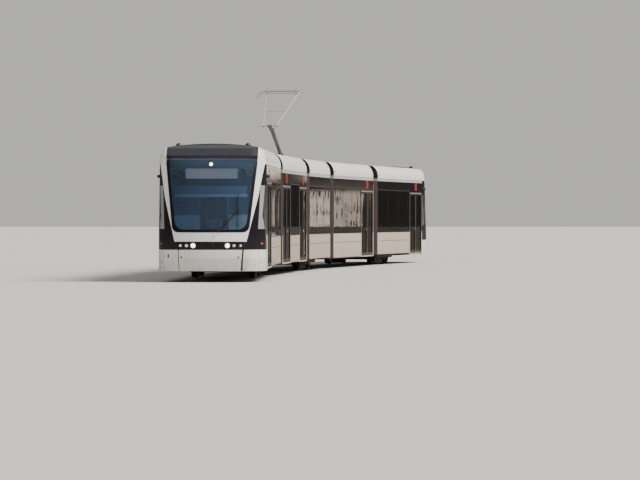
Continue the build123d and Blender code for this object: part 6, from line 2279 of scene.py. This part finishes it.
def wheel_details(number, axle, x):
    """Brake disc, hub, bolts and rubber ring of both wheels of an axle."""
    hubs, discs, rings = shapes(3)
    for side in (1, -1):
        centre = (x, side * (WHEEL_PLANE + 0.040), WHEEL_RADIUS)
        hubs.lathe(centre, (0, side, 0), HUB, 40, ring=True)
        rings.lathe(centre, (0, side, 0), RUBBER_RING, 48, ring=True)
        for spot in arc(centre, 0.165, 10, "y"):
            hubs.lathe(spot, (0, side, 0), WHEEL_BOLT, 6)
        discs.lathe((x, side * (WHEEL_PLANE - 0.012), WHEEL_RADIUS), (0, -side, 0), BRAKE_DISC, 48, ring=True)
    make_all(
        f"wheelset_{axle}_", number,
        (hubs, "hubs", "steel"), (rings, "rubber_rings", "rubber"), (discs, "brake_discs", "alloy"),
        body=f"wheelset_{axle}",
    )


def build_underfloor(tram):
    """Pipes, cable ducts and cross members on the underside of the floors."""
    low = LOW_FLOOR - 0.06
    for number, kind in KINDS.items():
        ducts, pipes, boxes = shapes(3)
        start, end = BODY_SPAN[kind]
        if kind == "hung":
            for y in (-0.86, 0.86):
                ducts.box(start + 0.1, end - 0.1, y - 0.10, y + 0.10, low - 0.045, low + 0.001, 0.008)
            for y in (-0.60, -0.55, 0.55, 0.60):
                pipes.tube([(start + 0.15, y, low - 0.016), (end - 0.15, y, low - 0.016)], 0.014, 10)
            for i in range(7):
                boxes.block(-2.1 + i * 0.7, 0.03, 0, 1.24, low - 0.012, low + 0.001, 0.004)
            boxes.box(-0.5, 0.5, -0.42, 0.42, low - 0.075, low + 0.001, 0.015)
            for k in range(10):
                ducts.box(-0.46 + k * 0.095, -0.42 + k * 0.095, -0.36, 0.36, low - 0.082, low - 0.070, 0.004)
        if kind == "end":
            boxes.box(4.75, 6.25, -0.95, 0.95, low - 0.05, low + 0.001, 0.012)
            for k in range(12):
                ducts.box(4.85 + k * 0.11, 4.90 + k * 0.11, -0.8, 0.8, low - 0.058, low - 0.045, 0.004)
            for y in (-1.08, 1.08):
                pipes.tube([(4.7, y, low - 0.02), (6.4, y, low - 0.02)], 0.018, 10)
        make_all(
            f"s{number}_underfloor_", number,
            (ducts, "ducts", "dark_box"), (pipes, "pipes", "rubber"), (boxes, "cross_members", "bogie_paint"),
        )


# Settings, operators and panel
class TramSettings(bpy.types.PropertyGroup):
    """Sizes and colours that the pieces are built with."""

    seal_width: bpy.props.FloatProperty(
        name="Window seal", description="Width of the seals between window panes",
        default=0.016, unit="LENGTH",
    )
    door_frame: bpy.props.FloatProperty(
        name="Door frame", description="Width of the pale frame round each doorway",
        default=0.05, unit="LENGTH",
    )
    mark_width: bpy.props.FloatProperty(
        name="Door mark", description="Width of the red mark above each doorway",
        default=0.30, unit="LENGTH",
    )
    seam_width: bpy.props.FloatProperty(
        name="Hatch line", description="Width of the line along the top of the hatches",
        default=0.014, unit="LENGTH",
    )
    fairing_length: bpy.props.FloatProperty(
        name="Fairing panel", description="Usual length of a roof fairing's panel",
        default=2.3, unit="LENGTH",
    )
    frit_width: bpy.props.FloatProperty(
        name="Windscreen border", description="Width of the windscreen's black border",
        default=0.065, unit="LENGTH",
    )
    pleats: bpy.props.IntProperty(
        name="Pleats", description="Number of folds in each gangway hood", default=9,
    )
    pleat_depth: bpy.props.FloatProperty(
        name="Pleat depth", description="How deep the gangway hoods' folds are",
        default=0.045, unit="LENGTH",
    )
    floor_colour: bpy.props.FloatVectorProperty(
        name="Floor colour", description="Colour of the studio floor",
        default=(0.52, 0.50, 0.47), subtype="COLOR",
    )
    sun_strength: bpy.props.FloatProperty(
        name="Sun strength", description="Strength of the main light", default=6.4,
    )
    sky_strength: bpy.props.FloatProperty(
        name="Sky strength", description="Strength of the sky light", default=0.74,
    )


class TramStep:
    """What the operators share: each runs its builders with the tram's settings."""

    builders = ()

    def execute(self, context):
        for build in self.builders:
            build(context.scene.tram)
        return {"FINISHED"}


class TRAM_OT_finishes(TramStep, bpy.types.Operator):
    """Builds the materials and gives every CAD node its own"""

    bl_idname = "tram.finishes"
    bl_label = "Dress the CAD nodes"
    builders = (dress_nodes,)


class TRAM_OT_windows(TramStep, bpy.types.Operator):
    """Builds the window seals, rails and linings"""

    bl_idname = "tram.windows"
    bl_label = "Windows"
    builders = (build_windows,)


class TRAM_OT_doors(TramStep, bpy.types.Operator):
    """Builds the door frames, seals, handles, buttons and sills"""

    bl_idname = "tram.doors"
    bl_label = "Doors"
    builders = (build_doors,)


class TRAM_OT_side_panels(TramStep, bpy.types.Operator):
    """Builds the hatch lines, locks and trims of the lower panels"""

    bl_idname = "tram.side_panels"
    bl_label = "Lower panels"
    builders = (build_side_panels,)


class TRAM_OT_fairings(TramStep, bpy.types.Operator):
    """Builds the seams, locks and trims of the roof fairings"""

    bl_idname = "tram.fairings"
    bl_label = "Roof fairings"
    builders = (build_fairings,)


class TRAM_OT_cab_outside(TramStep, bpy.types.Operator):
    """Builds the lamps, wiper, camera arms, display, border and trims of both cabs"""

    bl_idname = "tram.cab_outside"
    bl_label = "Cabs, outside"
    builders = (
        build_cab_glass, build_front_lamps, build_wipers, build_view_cameras, build_displays, build_cab_trims,
    )


class TRAM_OT_cab_inside(TramStep, bpy.types.Operator):
    """Builds the partition, desk, driver's seat and blinds of both cabs"""

    bl_idname = "tram.cab_inside"
    bl_label = "Cabs, inside"
    builders = (build_cab_inside,)


class TRAM_OT_saloon(TramStep, bpy.types.Operator):
    """Builds the seats, poles and ceilings of all sections"""

    bl_idname = "tram.saloon"
    bl_label = "Saloons"
    builders = (build_seats, build_poles, build_ceiling)


class TRAM_OT_bellows(TramStep, bpy.types.Operator):
    """Builds the pleated hoods of the gangways"""

    bl_idname = "tram.bellows"
    bl_label = "Gangway hoods"
    builders = (build_bellows,)


class TRAM_OT_roof_gear(TramStep, bpy.types.Operator):
    """Builds the fans, grilles, fixings and cables on the roof"""

    bl_idname = "tram.roof_gear"
    bl_label = "Roof gear"
    builders = (build_roof_gear,)


class TRAM_OT_pantograph(TramStep, bpy.types.Operator):
    """Builds the insulators, springs, stays and strips of the pantograph"""

    bl_idname = "tram.pantograph"
    bl_label = "Pantograph"
    builders = (build_pantograph,)


class TRAM_OT_running_gear(TramStep, bpy.types.Operator):
    """Builds the fine parts of bogies, wheels and underfloor"""

    bl_idname = "tram.running_gear"
    bl_label = "Running gear"
    builders = (build_running_gear, build_underfloor)


class TRAM_OT_stage(TramStep, bpy.types.Operator):
    """Builds the floor, lights and camera"""

    bl_idname = "tram.stage"
    bl_label = "Stage"
    builders = (build_stage,)


class TRAM_PT_panel(bpy.types.Panel):
    """The tram's sizes and the buttons that build it"""

    bl_idname = "TRAM_PT_panel"
    bl_label = "Low-floor tram"
    bl_space_type = "VIEW_3D"
    bl_region_type = "UI"
    bl_category = "Tram"

    def draw(self, context):
        for name in TramSettings.__annotations__:
            self.layout.prop(context.scene.tram, name)
        for operator in OPERATORS:
            self.layout.operator(operator.bl_idname)


OPERATORS = (
    TRAM_OT_finishes,
    TRAM_OT_windows,
    TRAM_OT_doors,
    TRAM_OT_side_panels,
    TRAM_OT_fairings,
    TRAM_OT_cab_outside,
    TRAM_OT_cab_inside,
    TRAM_OT_saloon,
    TRAM_OT_bellows,
    TRAM_OT_roof_gear,
    TRAM_OT_pantograph,
    TRAM_OT_running_gear,
    TRAM_OT_stage,
)
CLASSES = (TramSettings, *OPERATORS, TRAM_PT_panel)


def register():
    for cls in CLASSES:
        bpy.utils.register_class(cls)
    bpy.types.Scene.tram = bpy.props.PointerProperty(type=TramSettings)


def unregister():
    del bpy.types.Scene.tram
    for cls in reversed(CLASSES):
        bpy.utils.unregister_class(cls)


def main():
    """Registers the classes and runs every operator in order."""
    register()
    for operator in OPERATORS:
        group, name = operator.bl_idname.split(".")
        getattr(getattr(bpy.ops, group), name)()


if __name__ == "__main__":
    main()
